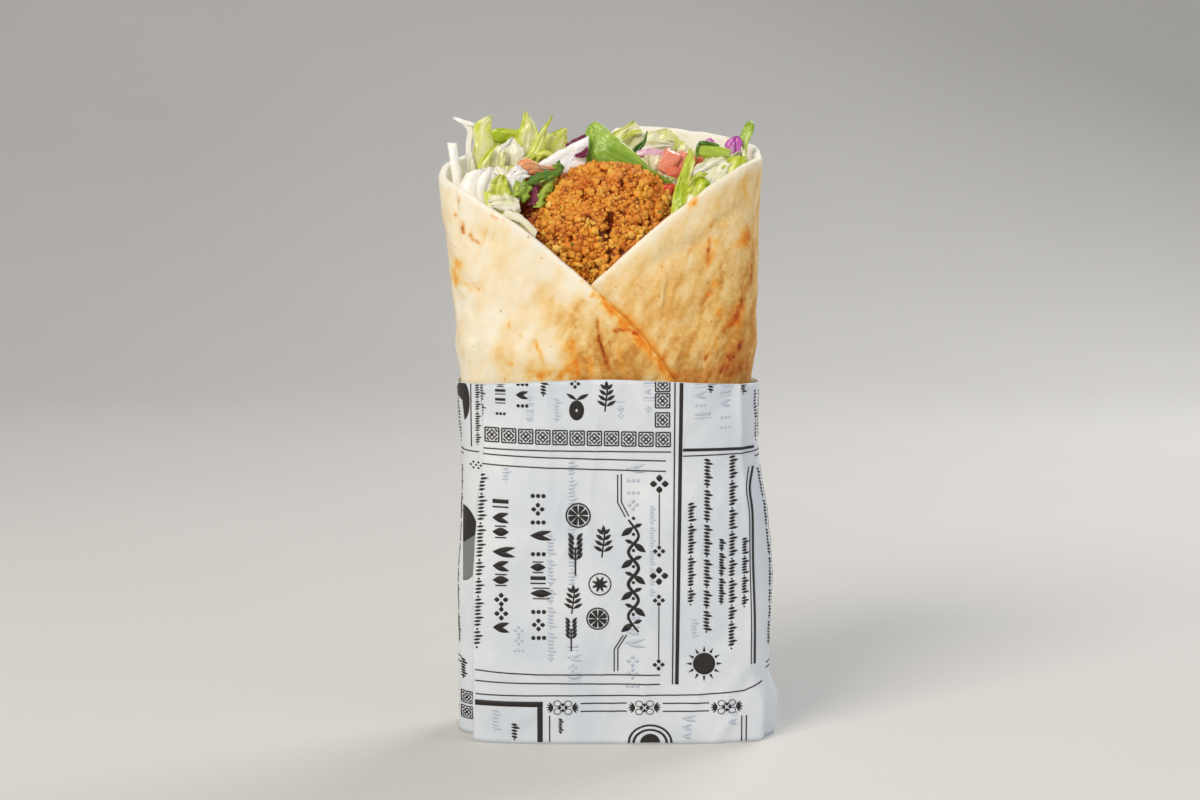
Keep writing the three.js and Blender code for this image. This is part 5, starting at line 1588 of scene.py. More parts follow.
# %% Join forms of one kind
class Gathered:
    """Forms of one kind, joined as one mesh, with a shade from root to tip and to the edge."""

    def __init__(self):
        self.meshes, self.shades = [], []

    def add(self, form, root=0.5, tip=0.5, edge=0.0, tilt=0.0):
        points, faces, along_it, side, streak = form
        shade = root + (tip - root) * along_it + edge * np.abs(side) ** 1.5 + tilt * side
        self.meshes.append((points, faces))
        self.shades.append(shade + streak)

    def piece(self, name, material, slot, node):
        made = mesh_object(name, *joined(self.meshes), material, slot, [node])
        paint(made, "shade", np.concatenate(self.shades))
        print(name, "has", len(made.data.polygons), "triangles")


def piece_of(name, forms, material, slot, node):
    """One piece from (form, shades) pairs, in place of one solid."""
    gathered = Gathered()
    for form, shades in forms:
        gathered.add(form, *shades)
    gathered.piece(name, material, slot, node)


# %% [markdown]
# ## Finishes of the vegetables
#
# Cut vegetables are wet and let light through. Each gets a ramp of its real colours from pale
# to deep, read by the shade kept on the mesh, some scattering under the surface, and a low
# roughness for its film of water. Noise breaks the colour up into streaks a few millimetres
# wide, and a bump of small cells makes the wet surface glitter.

# %% One function for wet plant flesh
BLOTCH = 3 * MM


def plant_flesh(name, stops, vein=0.8, rough=0.35, scatter=0.3, coat=0.2, bumpy=0.25,
                radius=(0.9, 1.0, 0.35)):
    """Vein is a size in millimetres, and radius says which light goes furthest in."""
    material, tree, surface = new_material(name)
    where = add_node(tree, "ShaderNodeTexCoord").outputs["Object"]
    shade = add_node(tree, "ShaderNodeAttribute", {"attribute_name": "shade"})
    blotch = add_node(tree, "ShaderNodeTexNoise", {"Scale": 1 / BLOTCH, "Detail": 4.0,
                      "Roughness": 0.6}, Vector=where)
    wobble = add_node(tree, "ShaderNodeMath", {"operation": "MULTIPLY_ADD", 1: 0.4, 2: -0.2},
                      _0=blotch.outputs["Fac"])
    tone = add_node(tree, "ShaderNodeMath", {"operation": "ADD", "use_clamp": True},
                    _0=shade.outputs["Fac"], _1=wobble.outputs[0])
    colour = add_node(tree, "ShaderNodeValToRGB", {"stops": stops}, Fac=tone.outputs[0])
    cell = add_node(tree, "ShaderNodeTexVoronoi", {"Scale": 1 / (vein * MM),
                    "feature": "SMOOTH_F1"}, Vector=where)
    relief = add_node(tree, "ShaderNodeBump", {"Strength": bumpy, "Distance": 0.2 * MM},
                      Height=cell.outputs["Distance"])
    set_node(surface, {"Roughness": rough, "Subsurface Weight": scatter,
             "Subsurface Radius": radius, "Subsurface Scale": 1.2 * MM, "Coat Weight": coat,
             "Coat Roughness": 0.12}, Base_Color=colour.outputs[0], Normal=relief.outputs[0])
    return material


lettuce_flesh = plant_flesh("romaine_lettuce_shredded", [
    (0, "#fbf9ee"), (0.2, "#f2f1d2"), (0.42, "#e0e39c"), (0.62, "#cfd84e"), (0.82, "#b0c61c"),
    (1, "#7fa414")], bumpy=0.5, coat=0.25)
cabbage_flesh = plant_flesh("white_cabbage_shredded", [
    (0, "#e9e4bc"), (0.35, "#f6f2dc"), (1, "#fffcf2")], rough=0.32, bumpy=0.5)
leaf_flesh = plant_flesh("rocket_leaf", [
    (0, "#c8da84"), (0.25, "#a8c650"), (0.5, "#86ac26"), (0.8, "#66921a"), (1, "#487420")],
    vein=1.4, rough=0.42, scatter=0.12, coat=0.15, bumpy=0.5)
herb_flesh = plant_flesh("flat_parsley", [
    (0, "#d4de7c"), (0.3, "#b0c24c"), (0.6, "#82a02c"), (1, "#487014")], vein=1.1,
    rough=0.5, scatter=0.08, coat=0.05, bumpy=0.6)
tomato_flesh = plant_flesh("tomato_diced", [
    (0, "#fcd6bc"), (0.25, "#f7a688"), (0.6, "#f0805f"), (1, "#d8482e")], vein=1.6, rough=0.2,
    scatter=0.35, coat=0.65, radius=(1.6, 0.5, 0.3), bumpy=0.7)
orange_tomato_flesh = plant_flesh("tomato_diced_orange", [
    (0, "#f9d0a4"), (0.25, "#f2a878"), (0.6, "#ea8c58"), (1, "#d2602c")], vein=1.6, rough=0.2,
    scatter=0.35, coat=0.5, radius=(1.6, 0.6, 0.3), bumpy=0.7)
cucumber_flesh = plant_flesh("cucumber_sliced", [
    (0, "#e2eca0"), (0.4, "#c0d852"), (0.7, "#9cbc30"), (1, "#46720e")], rough=0.2,
    coat=0.5, bumpy=0.4)
onion_flesh = plant_flesh("red_onion_sliced", [
    (0, "#f4dce0"), (0.3, "#e6b6d0"), (0.6, "#d67acc"), (0.85, "#bc50b0"), (1, "#862c4a")],
    rough=0.25, coat=0.4, radius=(1.0, 0.4, 0.9))
rib_flesh = plant_flesh("red_cabbage_rib", [
    (0, "#fdfcfa"), (0.45, "#f6f3f2"), (0.72, "#c294ba"), (1, "#741c4c")], rough=0.28,
    coat=0.3, bumpy=0.5)

# %% [markdown]
# ## The salad's core
#
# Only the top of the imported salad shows, so its inside is one solid core that follows the
# bread's inner face. Its top is a height field that stays below the slanting edges of the two
# front flaps and leaves a bowl for the falafel. The shreds on top of it are real sheets.

# %% The core
SALAD_TOP = 156.0
BELOW_FLAP, RISE_INWARD, FLAPS_AT = 4.5, 1.25, -23  # the heap's slope behind the front flaps
BOWLS = [
    # middle, half width, y of its front half and how long that is, y of its back wall and how
    # soft that is, floor, height of its wall, and the shares at which the wall starts and ends
    (FALAFEL["at"][0], 20.5, FALAFEL["at"][1], 30, FALAFEL["at"][1] - 3, 8, 122, 34, 0.95, 1.15),
    (SECOND_FALAFEL["at"][0] - 2.5, 7, SECOND_FALAFEL["at"][1] - 2, 12,
     SECOND_FALAFEL["at"][1] - 12, 10, 136, 26, 0.8, 1.3)]


def salad_height(x, y):
    """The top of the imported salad, with a bowl for each falafel."""
    bumps = 2.0 * layered_noise(spot(x / 4.6, y / 4.6, 0), 2, 91)
    bumps = bumps - 1.6 * np.abs(layered_noise(spot(x / 2.4, y / 2.4, 0), 2, 93))
    walk = np.where(x < 0, 2 + x / QUARTER, -2 + x / QUARTER)
    front_edge = rim_height(np.clip(walk, -1.99, 1.99))
    slope = front_edge - BELOW_FLAP + RISE_INWARD * (y - FLAPS_AT) + 0.5 * bumps
    top = np.minimum(SALAD_TOP + bumps, slope)
    for middle, half, front, front_long, back, back_soft, floor, wall, start, end in BOWLS:
        beside = np.hypot((x - middle) / half, np.minimum(y - front, 0) / front_long)
        share = np.maximum(beside, (y - back) / back_soft)
        top = np.minimum(top, floor + wall * smooth_step(share, start, end))
    return top


def packed_core():
    """Points and triangles of the core: foot, wall and bumpy top."""
    around, rings = 200, 48
    wall_heights = (60.0, 90.0, 115.0, 125.0)
    walk = np.linspace(-2, 2, around, endpoint=False)
    rows = []
    for z in wall_heights:
        level = np.full_like(walk, z)
        place, out = roll_point("inner", walk, level)
        behind = (BREAD_THICK + GAP) * smooth_step(walk, 1.45, 1.65)
        room = bread_inset(walk, level) + behind + BREAD_THICK + 4 * GAP
        rows.append(place - out * room[:, None])
    rim = rows[-1]
    for share in np.linspace(1, 0.02, rings):
        x, y = rim[:, 0] * share, rim[:, 1] * share
        rows.append(np.stack([x, y, salad_height(x, y)], 1))
    points = np.concatenate([*rows, [rows[0].mean(axis=0)], [rows[-1].mean(axis=0)]])
    index = np.arange(around * len(rows)).reshape(-1, around)
    following = np.roll(index, -1, axis=1)
    quads = np.stack([index[:-1], following[:-1], following[1:], index[1:]], -1).reshape(-1, 4)
    foot, peak = len(points) - 2, len(points) - 1
    return points, np.concatenate([
        quads[:, [0, 1, 2]], quads[:, [0, 2, 3]],
        np.stack([following[0], index[0], np.full(around, foot)], 1),
        np.stack([index[-1], following[-1], np.full(around, peak)], 1)])


core_points, core_faces = packed_core()
core = mesh_object("salad_core", core_points, core_faces, lettuce_flesh, "lettuce", ["salad"])
paint(core, "shade", 0.42 + 0.4 * layered_noise(core_points / 2.5, 3, 95))
print("core triangles:", len(core.data.polygons))

# %% [markdown]
# ## Lettuce and white cabbage
#
# The pieces that stand out of the heap each have a place of their own, so they are listed one by
# one: two edges in millimetres from where the piece is held to its tip, its depth, and its
# shade. The rest of the heap is covered by seeded shreds, so that it looks as full from the
# back and from above.

# %% Leaves of lettuce that stand out
LETTUCE_LEAVES = {
    # left edge, right edge, depth from root to tip, shade at root, tip, edge and tilt, settings
    "pale blade": (
        [(-36.8, 156), (-37.5, 165.7), (-38.1, 170), (-37.7, 172.9), (-35.3, 174.8), (-33, 175.5)],
        [(-33.7, 156), (-32.7, 163.5), (-32.5, 168.4), (-33, 171.6), (-32.9, 173.6),
         (-32.5, 175.3)],
        (-4, -5), (0.3, 0.5, 0.14, 0.05), {"jag": 0.1}),
    "shaded side of the blade": (
        [(-38.2, 158), (-38.4, 164), (-38, 167.4)], [(-36.4, 158), (-36.6, 164), (-37.2, 167.6)],
        (-3.4, -4), (0.25, 0.3, 0.1, 0), {}),
    "blade in front": (
        [(-36.4, 158), (-36.6, 161.7), (-34.9, 164.5), (-32.8, 166.6)],
        [(-35.2, 157), (-34.4, 161.5), (-32.8, 164.2), (-32, 166.4)],
        (-9, -9), (0.5, 0.7, 0, -0.1), {"jag": 0.1}),
    "bright leaf behind": (
        [(-33.4, 168.6), (-30.6, 167.4), (-28, 167.6), (-24.5, 166)],
        [(-33.4, 171.7), (-30.9, 172.2), (-28.5, 171.9), (-24, 171.4)],
        (3, 3, 2), (0.84, 0.74, 0, 0), {"fold": 0.9, "wave": 3.5}),
    "stem of the bright leaf": (
        [(-33.5, 156), (-33.2, 163), (-32.4, 169)], [(-29, 156), (-29.2, 163), (-30, 169)],
        (2, 3), (0.3, 0.7, 0, 0), {}),
    "tall leaf": (
        [(-24.8, 154), (-25.6, 163.7), (-26.8, 167.6), (-26.2, 170.6), (-24.7, 173.2),
         (-24.3, 175.7), (-23.7, 176.8)],
        [(-20.8, 154), (-20.6, 163.7), (-19.8, 167.2), (-19.9, 170), (-20.8, 173), (-22.3, 175.3),
         (-23.3, 176.8)],
        (0, 0), (0.2, 0.52, 0.24, -0.12), {"cup": 0.5, "fold": 0.5, "jag": 0.25}),
    "spike": (
        [(-24.6, 155), (-24.2, 162.4), (-22.4, 166), (-20.3, 169.7), (-18.6, 172.3),
         (-17.1, 174.1), (-16.1, 175.6)],
        [(-18.8, 155), (-18.4, 162.6), (-17.9, 166.6), (-17.8, 169.7), (-17.5, 171.4),
         (-16.7, 173.3), (-15.8, 175.4)],
        (-3, -2), (0.45, 0.7, 0.05, -0.05), {"cup": 0.5, "fold": 0.5, "jag": 0.08}),
    "wide yellow leaf": (
        [(-20.2, 155), (-18.9, 166.6), (-18, 170), (-15.8, 170.9), (-13.8, 171.9), (-12.3, 172.1)],
        [(-14, 155), (-13, 163), (-11.4, 166.8), (-11.8, 168.5), (-12, 170.3), (-11.6, 171.8)],
        (1, 0.6), (0.44, 0.6, 0.1, -0.05), {"fold": 0.25, "jag": 0.35, "wave": 4, "cup": 0.7}),
    "curl by the spike": (
        [(-21.8, 161.6), (-20.6, 164.8), (-17.6, 165.9), (-14.6, 163.8)],
        [(-20.4, 161.2), (-19.2, 163.2), (-17.2, 163.9), (-15.8, 162.2)],
        (-4.5, -4.5), (0.66, 0.6, 0.1, 0), {"thick": 0.5, "jag": 0.1}),
    "angular rib": (
        [(-32.4, 156), (-31.6, 163.6), (-31.2, 166.6), (-29.2, 168), (-27.3, 169.5)],
        [(-24.8, 156), (-24.4, 163), (-23.9, 166.2), (-25.2, 167.4), (-26.9, 169.4)],
        (-5.4, -3.6), (0.24, 0.02, 0.04, 0.04), {"fold": 0.6, "jag": 0.35, "crumple": 0.2}),
    "rib behind it": (
        [(-33, 156), (-32.6, 163.6), (-31.4, 166.9), (-30.2, 166.9)],
        [(-28.8, 156), (-28.8, 163), (-28.6, 164.8), (-29.6, 166.5)],
        (-7.4, -6), (0.5, 0.12, 0.04, 0.1), {"fold": 0.8, "jag": 0.3, "crumple": 0.3}),
    "yellow edge below it": (
        [(-28.6, 156), (-27.4, 160), (-24.4, 163.2), (-21.2, 165.4)],
        [(-26, 156), (-25.2, 158.6), (-22.6, 161.6), (-20.4, 164)],
        (-6.6, -5), (0.55, 0.7, 0, 0.15), {"fold": 0.6, "jag": 0.3}),
    "small yellow frill": (
        [(-32.6, 149.5), (-33.2, 153.6), (-32.6, 157), (-30.4, 159.2)],
        [(-28.6, 149.5), (-27.2, 153.6), (-27.6, 156.6), (-29, 159)],
        (-15.4, -14.4), (0.4, 0.66, 0.16, 0.1),
        {"ruffle": 0.6, "wave": 3, "jag": 0.5, "fold": 0.8}),
    "lower left cream": (
        [(-32, 150.2), (-28.4, 148.2), (-26, 147.9), (-24.4, 149.2)],
        [(-33.4, 152), (-30.2, 154.1), (-27.6, 153.6), (-24.9, 152.2)],
        (-18.4, -17.4), (0.2, 0.2, 0.12, 0.1),
        {"ruffle": 0.6, "wave": 2.8, "jag": 0.6, "fold": 0.9}),
    "below the angular rib": (
        [(-32.8, 154), (-32, 158), (-30, 161.4)], [(-24, 154), (-25.4, 158.6), (-26.6, 161.6)],
        (-9.5, -8.4), (0.3, 0.5, 0.12, 0), {"ruffle": 0.5, "wave": 4, "fold": 0.8}),
    "back leaf": (
        [(-0.8, 156), (0.2, 167), (0.6, 170.4), (4, 172.6), (6.8, 174.4)],
        [(8.5, 156), (8.6, 166), (9.4, 170.8), (8.6, 172.9), (7.4, 174.3)],
        (12, 14), (0.3, 0.46, 0.08, -0.12), {"jag": 0.2, "fold": 0.5, "wave": 7}),
    "back leaf, folded": (
        [(3, 166.2), (6, 169), (9.6, 170.2)], [(4, 169.6), (7, 171.6), (9.8, 171.6)],
        (11, 12.4), (0.55, 0.4, 0, 0.14), {"fold": 0.6, "jag": 0.2}),
    "back leaf, middle": (
        [(8, 156), (8.4, 165), (10, 170.6), (13.2, 171.5), (16.5, 172.4)],
        [(19, 156), (19.6, 164), (20.4, 168.6), (18.8, 171), (16.9, 172.3)],
        (12, 15), (0.2, 0.44, 0.1, 0.1), {"jag": 0.25, "fold": 0.5, "wave": 6}),
    "white fold in the back": (
        [(8.6, 164.6), (13.6, 165.9), (18.4, 166.6)], [(9.4, 168.4), (14, 169.2), (18.8, 168.6)],
        (9, 10), (0.12, 0.08, 0.1, 0.1), {"fold": 0.8, "jag": 0.3, "ruffle": 0.4}),
    "back leaf, right": (
        [(18, 155), (18.6, 164), (20.6, 168.8), (22.8, 167.2)],
        [(27, 155), (26.4, 161), (25.4, 164.8), (23.6, 166.6)],
        (10, 13), (0.2, 0.44, 0.12, 0), {"fold": 0.5, "jag": 0.3}),
    "right heap": (
        [(20.6, 148.5), (22.6, 155.5), (24.6, 161), (27.4, 163.6)],
        [(29.5, 153.5), (32, 158), (33.6, 161.6), (31.6, 163.8)],
        (-15, -12, -9.5), (0.2, 0.24, 0.1, 0), {"ruffle": 0.5, "jag": 0.5, "fold": 1.2}),
    "right heap, upper": (
        [(28.4, 154), (31, 160.5), (33.6, 164.2), (36.2, 165.6)],
        [(36.4, 157.4), (38.2, 160.4), (38.6, 162.6), (37.2, 165.2)],
        (-13, -10, -8), (0.25, 0.26, 0.1, 0), {"ruffle": 0.5, "jag": 0.5, "fold": 1.2}),
    "right heap, fold": (
        [(23.4, 158.4), (27.6, 160.8), (32, 162.6)], [(23.6, 161.4), (27.8, 163.4), (31.4, 164)],
        (-12.4, -10.4), (0.1, 0.2, 0.1, 0.1), {"ruffle": 0.5, "jag": 0.4, "fold": 1}),
    "bright frill": (
        [(20.6, 149.4), (21, 153), (21.8, 156.2), (23.4, 158.4)],
        [(26.6, 151), (27.8, 154.6), (27.9, 156.8), (26, 158.8)],
        (-17.2, -16.4, -14.8), (0.72, 0.8, 0.08, 0.06),
        {"ruffle": 0.5, "wave": 2.8, "jag": 0.6, "fold": 0.7}),
    "fold of the bright frill": (
        [(21.6, 155.6), (23.4, 157.8), (26.4, 158.6)], [(22.6, 158), (24.2, 159.6), (27.4, 159.8)],
        (-16.6, -15.6), (0.5, 0.62, 0.1, 0.1),
        {"ruffle": 0.4, "wave": 2.4, "jag": 0.4, "fold": 0.5}),
    "bright frill, upper": (
        [(30.2, 158.2), (31.4, 161.6), (33.4, 164)], [(35.6, 159.4), (37.8, 161.6), (38.2, 164.2)],
        (-12.6, -11), (0.7, 0.78, 0.08, 0.05),
        {"ruffle": 0.4, "wave": 2.6, "jag": 0.5, "fold": 0.6}),
    "right tip": (
        [(35.6, 159), (36.8, 163.4), (37.5, 166.2)], [(39.8, 159), (39.4, 162.4), (37.9, 166)],
        (-6, -5), (0.2, 0.3, 0.1, 0), {})}
print("leaves of lettuce:", len(LETTUCE_LEAVES))

# %% White cabbage that stands out
CABBAGE_LEAVES = {
    "strip over the rim": (
        [(-42.6, 152), (-44.1, 161.4), (-44.6, 164.8), (-45.1, 167.9)],
        [(-39.4, 152), (-41.4, 161.4), (-42.1, 164.8), (-42.4, 167.6)],
        (-11, -8), (0.7, 1, 0, 0), {"thick": 0.7, "fold": 0.2}),
    "second strip": (
        [(-40.4, 153), (-40.4, 160), (-39.8, 165)], [(-37.4, 153), (-37.4, 160), (-38.4, 165.6)],
        (-6, -4), (0.3, 0.6, 0, 0), {"thick": 0.7}),
    "white mass": (
        [(-40.6, 149), (-41.2, 155.4), (-39.2, 159.6), (-35.4, 160.2)],
        [(-31.6, 149), (-32, 154.6), (-31, 158.2), (-32.2, 160.2)],
        (-14.2, -13), (0.85, 1, -0.1, 0), {"thick": 1.4, "fold": 0.6, "jag": 0.3, "cup": 0.8}),
    "pale piece above it": (
        [(-36.6, 157), (-36.4, 159.4), (-35, 161)], [(-26.8, 157), (-27.8, 159.6), (-30, 161)],
        (-10.6, -9), (0.3, 0.5, -0.1, 0), {"thick": 1, "fold": 1, "jag": 0.4}),
    "ragged crumble": (
        [(-27.2, 152), (-28.4, 155.6), (-29.8, 158.8), (-27.4, 160), (-25.7, 161.8)],
        [(-24.4, 152), (-23.2, 156.9), (-22.9, 158.4), (-23.3, 159.9), (-25.2, 161.6)],
        (-13, -11.5), (0.9, 1, 0, 0), {"thick": 1, "jag": 1.3, "fold": 1, "crumple": 0.5}),
    "inner strip of the flap": (
        [(-29.5, 147.6), (-24.5, 145.6), (-20.4, 141.6)],
        [(-28.5, 149.4), (-24.3, 148.2), (-19.8, 143.9)],
        (-19.4, -19.6), (0.15, 0.3, 0, 0), {"thick": 0.8}),
    "cream piece by the tomato": (
        [(9.4, 156), (9.8, 161.5), (10, 164.4)], [(15.4, 156), (15.2, 161.5), (14.6, 164.4)],
        (-2, -2.6), (0, 0.15, 0, 0.1), {"thick": 1.2, "fold": 0.8, "jag": 0.3})}
HOOK = [
    # path, width
    ([(-39.6, -3, 158), (-39.5, -2, 167.8), (-39.0, -2, 170.3), (-39.5, -2, 172.4),
      (-41.6, -1.6, 174.0), (-43.9, -1, 175.0)], 1.7),
    ([(-41.6, -2, 174.0), (-39.8, -2.2, 173.4), (-37.6, -2.6, 172.9)], 1.4)]

lettuce, cabbage = Gathered(), Gathered()
for number, (left, right, y, shades, more) in enumerate(LETTUCE_LEAVES.values()):
    lettuce.add(leaf_between(left, right, y, seed=number, **more), *shades)
for number, (left, right, y, shades, more) in enumerate(CABBAGE_LEAVES.values()):
    cabbage.add(leaf_between(left, right, y, seed=50 + number, **more), *shades)
for path, wide in HOOK:
    cabbage.add(shred(path, wide, thick=0.6, tip=0.12, ruffle=0.0, seed=60), 0.9, 1.0)

# %% Seeded shreds over the rest
SCATTERED, SEED = 230, 11
BACK_LIMIT = 166.0  # keeps the shreds below the bread's edge at the back
rng = random.Random(SEED)
for number in range(SCATTERED):
    reach = math.sqrt(rng.uniform(0.02, 0.94))
    angle = rng.uniform(-0.35, math.pi + 0.35)
    x, y = 42 * reach * math.cos(angle), 2 + 20 * reach * math.sin(angle)
    heading, length = rng.uniform(0, 2 * math.pi), rng.uniform(7, 13)
    rise, wide, turn = rng.uniform(1.0, 4.5), rng.uniform(2.4, 6), rng.uniform(-1, 1)
    shades = rng.uniform(0.05, 0.35), rng.uniform(0.3, 0.75)
    facing = (rng.uniform(-0.5, 0.5), rng.uniform(-0.8, 0.1), 1)
    if abs(x + 1.2) < 18 and y < 4:
        continue
    dx, dy = length * math.cos(heading), 0.6 * length * math.sin(heading)
    if ((x + dx) / 43) ** 2 + ((y + dy) / 22) ** 2 > 0.9:
        dx, dy = (-dx, -dy) if number % 2 else (-0.5 * dy, 0.3 * dx)
    base = float(salad_height(np.array([x]), np.array([y]))[0])
    rise = min(rise, BACK_LIMIT - 3 - base)
    path = [(x, y, base - 2), (x + dx / 2, y + dy / 2, base + rise),
            (x + dx, y + dy, base + 0.4 * rise)]
    if number % 3 == 0:
        cabbage.add(shred(path, 0.5 * wide + 0.8, facing, thick=0.9, seed=number, rows=16,
                          columns=5, twist=turn), 0.2, 0.9)
    else:
        lettuce.add(shred(path, wide, facing, ruffle=0.8, seed=number, rows=18, twist=turn),
                    *shades, 0.1)
piece_of("lettuce_curl_green", [
    (leaf_between(
        [(16.8, 146.6), (17.2, 150.5), (17.7, 154), (18.9, 157.6), (20.3, 161.2), (21.5, 164.2),
         (22.2, 166)],
        [(22.4, 147.6), (22.2, 151.5), (22, 154.6), (22.5, 157.8), (23.5, 161.4), (23.6, 164),
         (22.9, 166)],
        (-18, -15.4, -11.4, -9), thick=0.4, cup=0.3, fold=0.3, jag=0.3, crumple=0.25, seed=21,
        rows=60), (0.86, 0.74, -0.2, -0.1))
], lettuce_flesh, "lettuce", "salad")
lettuce.piece("lettuce_shreds", lettuce_flesh, "lettuce", "salad")
cabbage.piece("white_cabbage_shreds", cabbage_flesh, "lettuce", "salad")

# %% [markdown]
# ## Large leaves
#
# A broad leaf of rocket lies across the top of the falafel, with a darker tip beside it and a
# stalk at the right. Leaves cut out of a flat picture would look like paper from the side, so
# each is spanned between its two edges, with rows close enough for its folds to bend softly.
# Each of the larger pieces from here on takes the place of its own solid.

# %% Large leaves
piece_of("rocket_leaf_large", [
    (leaf_between(
        [(17.6, 155.6), (13.1, 156.2), (7, 157.6), (-1, 159), (-6, 162), (-6.8, 165.4),
         (-6.3, 168.6), (-6.7, 170.6), (-5.9, 172.4)],
        [(17.9, 157), (12.3, 160.3), (7.7, 164.5), (2.5, 168.5), (0.4, 170.2), (-1, 171.2),
         (-2.4, 173), (-3.8, 173.8), (-4.9, 173.5)],
        (-9, -6, -3, -1.5), cup=0.3, ruffle=0.25, wave=9, jag=0.25, fold=0.16, crumple=0.2, seed=4,
        rows=80, columns=31), (0.74, 0.34, -0.08, -0.12)),
    (leaf_between(
        [(6.6, 164), (3, 166.6), (-0.6, 169.4), (-3, 172.2)],
        [(8, 164.6), (3.8, 168.2), (0.6, 170.8), (-2.2, 173.2)],
        (-2.6, -1.4), thick=0.6, cup=0.4, seed=34), (0.1, 0.1, 0, 0.05))
], leaf_flesh, "leaf", "green_leaf")
piece_of("rocket_leaf_pointed", [
    (leaf_between(
        [(5.8, 164), (6.8, 166.4), (9.4, 168.4), (10.4, 170.2), (10.8, 171.4)],
        [(7.8, 164.4), (9.6, 166.8), (10.4, 168.2), (10.7, 169.6), (10.95, 171.3)],
        (4, 5), fold=0.5, seed=9), (1, 1.2, 0, 0))
], leaf_flesh, "leaf", "dark_leaf")
piece_of("parsley_tip_right", [
    (leaf_between(
        [(37.4, 158), (37.8, 165), (36.9, 169.2), (37.6, 171.3), (38.6, 173.4), (39, 173.6)],
        [(38.9, 158), (38.9, 166), (39.6, 168.9), (40.5, 170.8), (40.8, 173), (40.2, 174.4)],
        (-1, 0), cup=0.2, seed=3, fold=0.6), (0.15, 0.4, 0.1, 0))
], leaf_flesh, "leaf", "parsley_stalk")


# %% [markdown]
# ## Parsley
#
# Parsley leaves are small, dark and toothed, and they curl. Drawing every tooth would take
# hundreds of points, so seven short leaves share one setting with a strong jag and overlap.

# %% Parsley
TORN = {"thick": 0.22, "cup": 0.5, "ruffle": 0.35, "wave": 2.2, "jag": 0.9, "fold": 0.5}
piece_of("parsley_frill_left", [
    (leaf_between(
        [(-27.6, 153.6), (-26.2, 155.4), (-24, 156.6), (-22.4, 157.6)],
        [(-27.2, 152.9), (-25.2, 152.6), (-23.4, 154), (-22, 156.6)],
        (-15.6, -14.6), seed=5, **TORN), (0.2, 0.5, 0.3, 0)),
    (leaf_between(
        [(-23.2, 157.2), (-24.4, 154.8), (-24.6, 152.8), (-24, 151.4)],
        [(-21.8, 157.2), (-22, 155.2), (-22.2, 153.4), (-23.4, 151.5)],
        (-14.4, -15.4), seed=6, **TORN), (0.3, 0.6, 0.3, 0)),
    (leaf_between(
        [(-22.8, 157.2), (-20, 159.8), (-17.4, 160.2), (-15, 160.8), (-14, 162.4), (-13.6, 162.1)],
        [(-21.6, 155.8), (-18.6, 157), (-15.6, 158.2), (-12.8, 159.2), (-12, 160.4), (-13, 161.8)],
        (-14.6, -12.6), seed=7, rows=60, **TORN), (0.9, 0.85, 0.3, 0.1)),
    (leaf_between(
        [(-20.8, 150), (-20, 153.2), (-18.8, 156), (-16.2, 158.4)],
        [(-18.4, 150), (-17.4, 153.2), (-16, 155.6), (-14.4, 158.2)],
        (-13.8, -13.2), seed=8, **TORN), (0.3, 0.55, 0.2, 0)),
    (leaf_between(
        [(-15, 160.2), (-14.4, 161.8), (-13.9, 163)],
        [(-13.8, 160.2), (-13.3, 161.6), (-13.7, 162.9)],
        (-12.6, -12.2), seed=9, **TORN), (0.6, 0.7, 0.2, 0)),
    (leaf_between(
        [(-26.8, 155.2), (-25.2, 156.8), (-23.2, 157.6)],
        [(-26.2, 153.8), (-24.4, 155.4), (-22.6, 156.8)],
        (-15.8, -15), seed=10, **TORN), (0.35, 0.5, 0.2, 0)),
    (leaf_between(
        [(-19.6, 158), (-18, 159.4), (-16.2, 159.8)],
        [(-18.8, 156.4), (-17, 157.4), (-14.8, 158.8)],
        (-14.6, -13.6), seed=11, **TORN), (0.4, 0.6, 0.2, 0))
], herb_flesh, "leaf", "parsley_left")

# %% [markdown]
# ## Tomato and cucumber
#
# Diced tomato is wet, with flat cuts and soft corners. Cutting a ball with planes would leave
# corners too sharp for soft fruit, so a ball is drawn towards a cube and roughened. The wedge
# and the slice of cucumber are thick leaves, and the cucumber's skin is two dark strips on it.

# %% Tomato and cucumber
piece_of("tomato_wedge_left", [
    (leaf_between(
        [(-24.6, 156.6), (-21, 157.6), (-17.4, 158.6), (-14.4, 159)],
        [(-25.5, 162.2), (-22.8, 163.3), (-19, 161.2), (-14.6, 160.9)],
        (-9.4, -9, -8.4), thick=2.6, cup=0.5, ruffle=0, fold=0.6, seed=2, rows=44, columns=21),
        (0.6, 0.45, 0, -0.25))
], orange_tomato_flesh, "tomato", "tomato_left")
piece_of("tomato_dice_right", [
    (lump((16.7, -7.4, 162.6), (2.9, 3, 3.9), (0.2, 0.35, 0.2), 0.12, 2.2, 0.75, 7),
     (0.15, 0.42, 0.1)),
    (lump((20.4, -6.6, 162.6), (2.9, 2.8, 3.4), (0.1, -0.15, -0.3), 0.14, 2, 0.75, 27),
     (0.34, 0.2, 0.1)),
    (lump((18.2, -9.4, 159.9), (2.6, 2, 1.7), (0.3, 0.3, 0.1), 0.12, 2, 0.6, 37), (0.5, 0.6, 0.1))
], tomato_flesh, "tomato", "tomato_right")
piece_of("tomato_dice_small", [
    (lump((24.9, -4.6, 162.4), (1.8, 2, 2.4), (0.2, 0.2, 0), 0.14, 2, 0.7, 9), (0.35, 0.6, 0.1))
], tomato_flesh, "tomato", "tomato_right_small")
# this dice lies low in shadow, and its deeper red is partly painted shade
piece_of("tomato_dice_low", [
    (lump((17, -10, 154.6), (2.6, 2.8, 2.6), (0.2, 0.1, 0), 0.14, 2, 0.6, 11), (0.7, 1, 0.1))
], tomato_flesh, "tomato", "tomato_low")
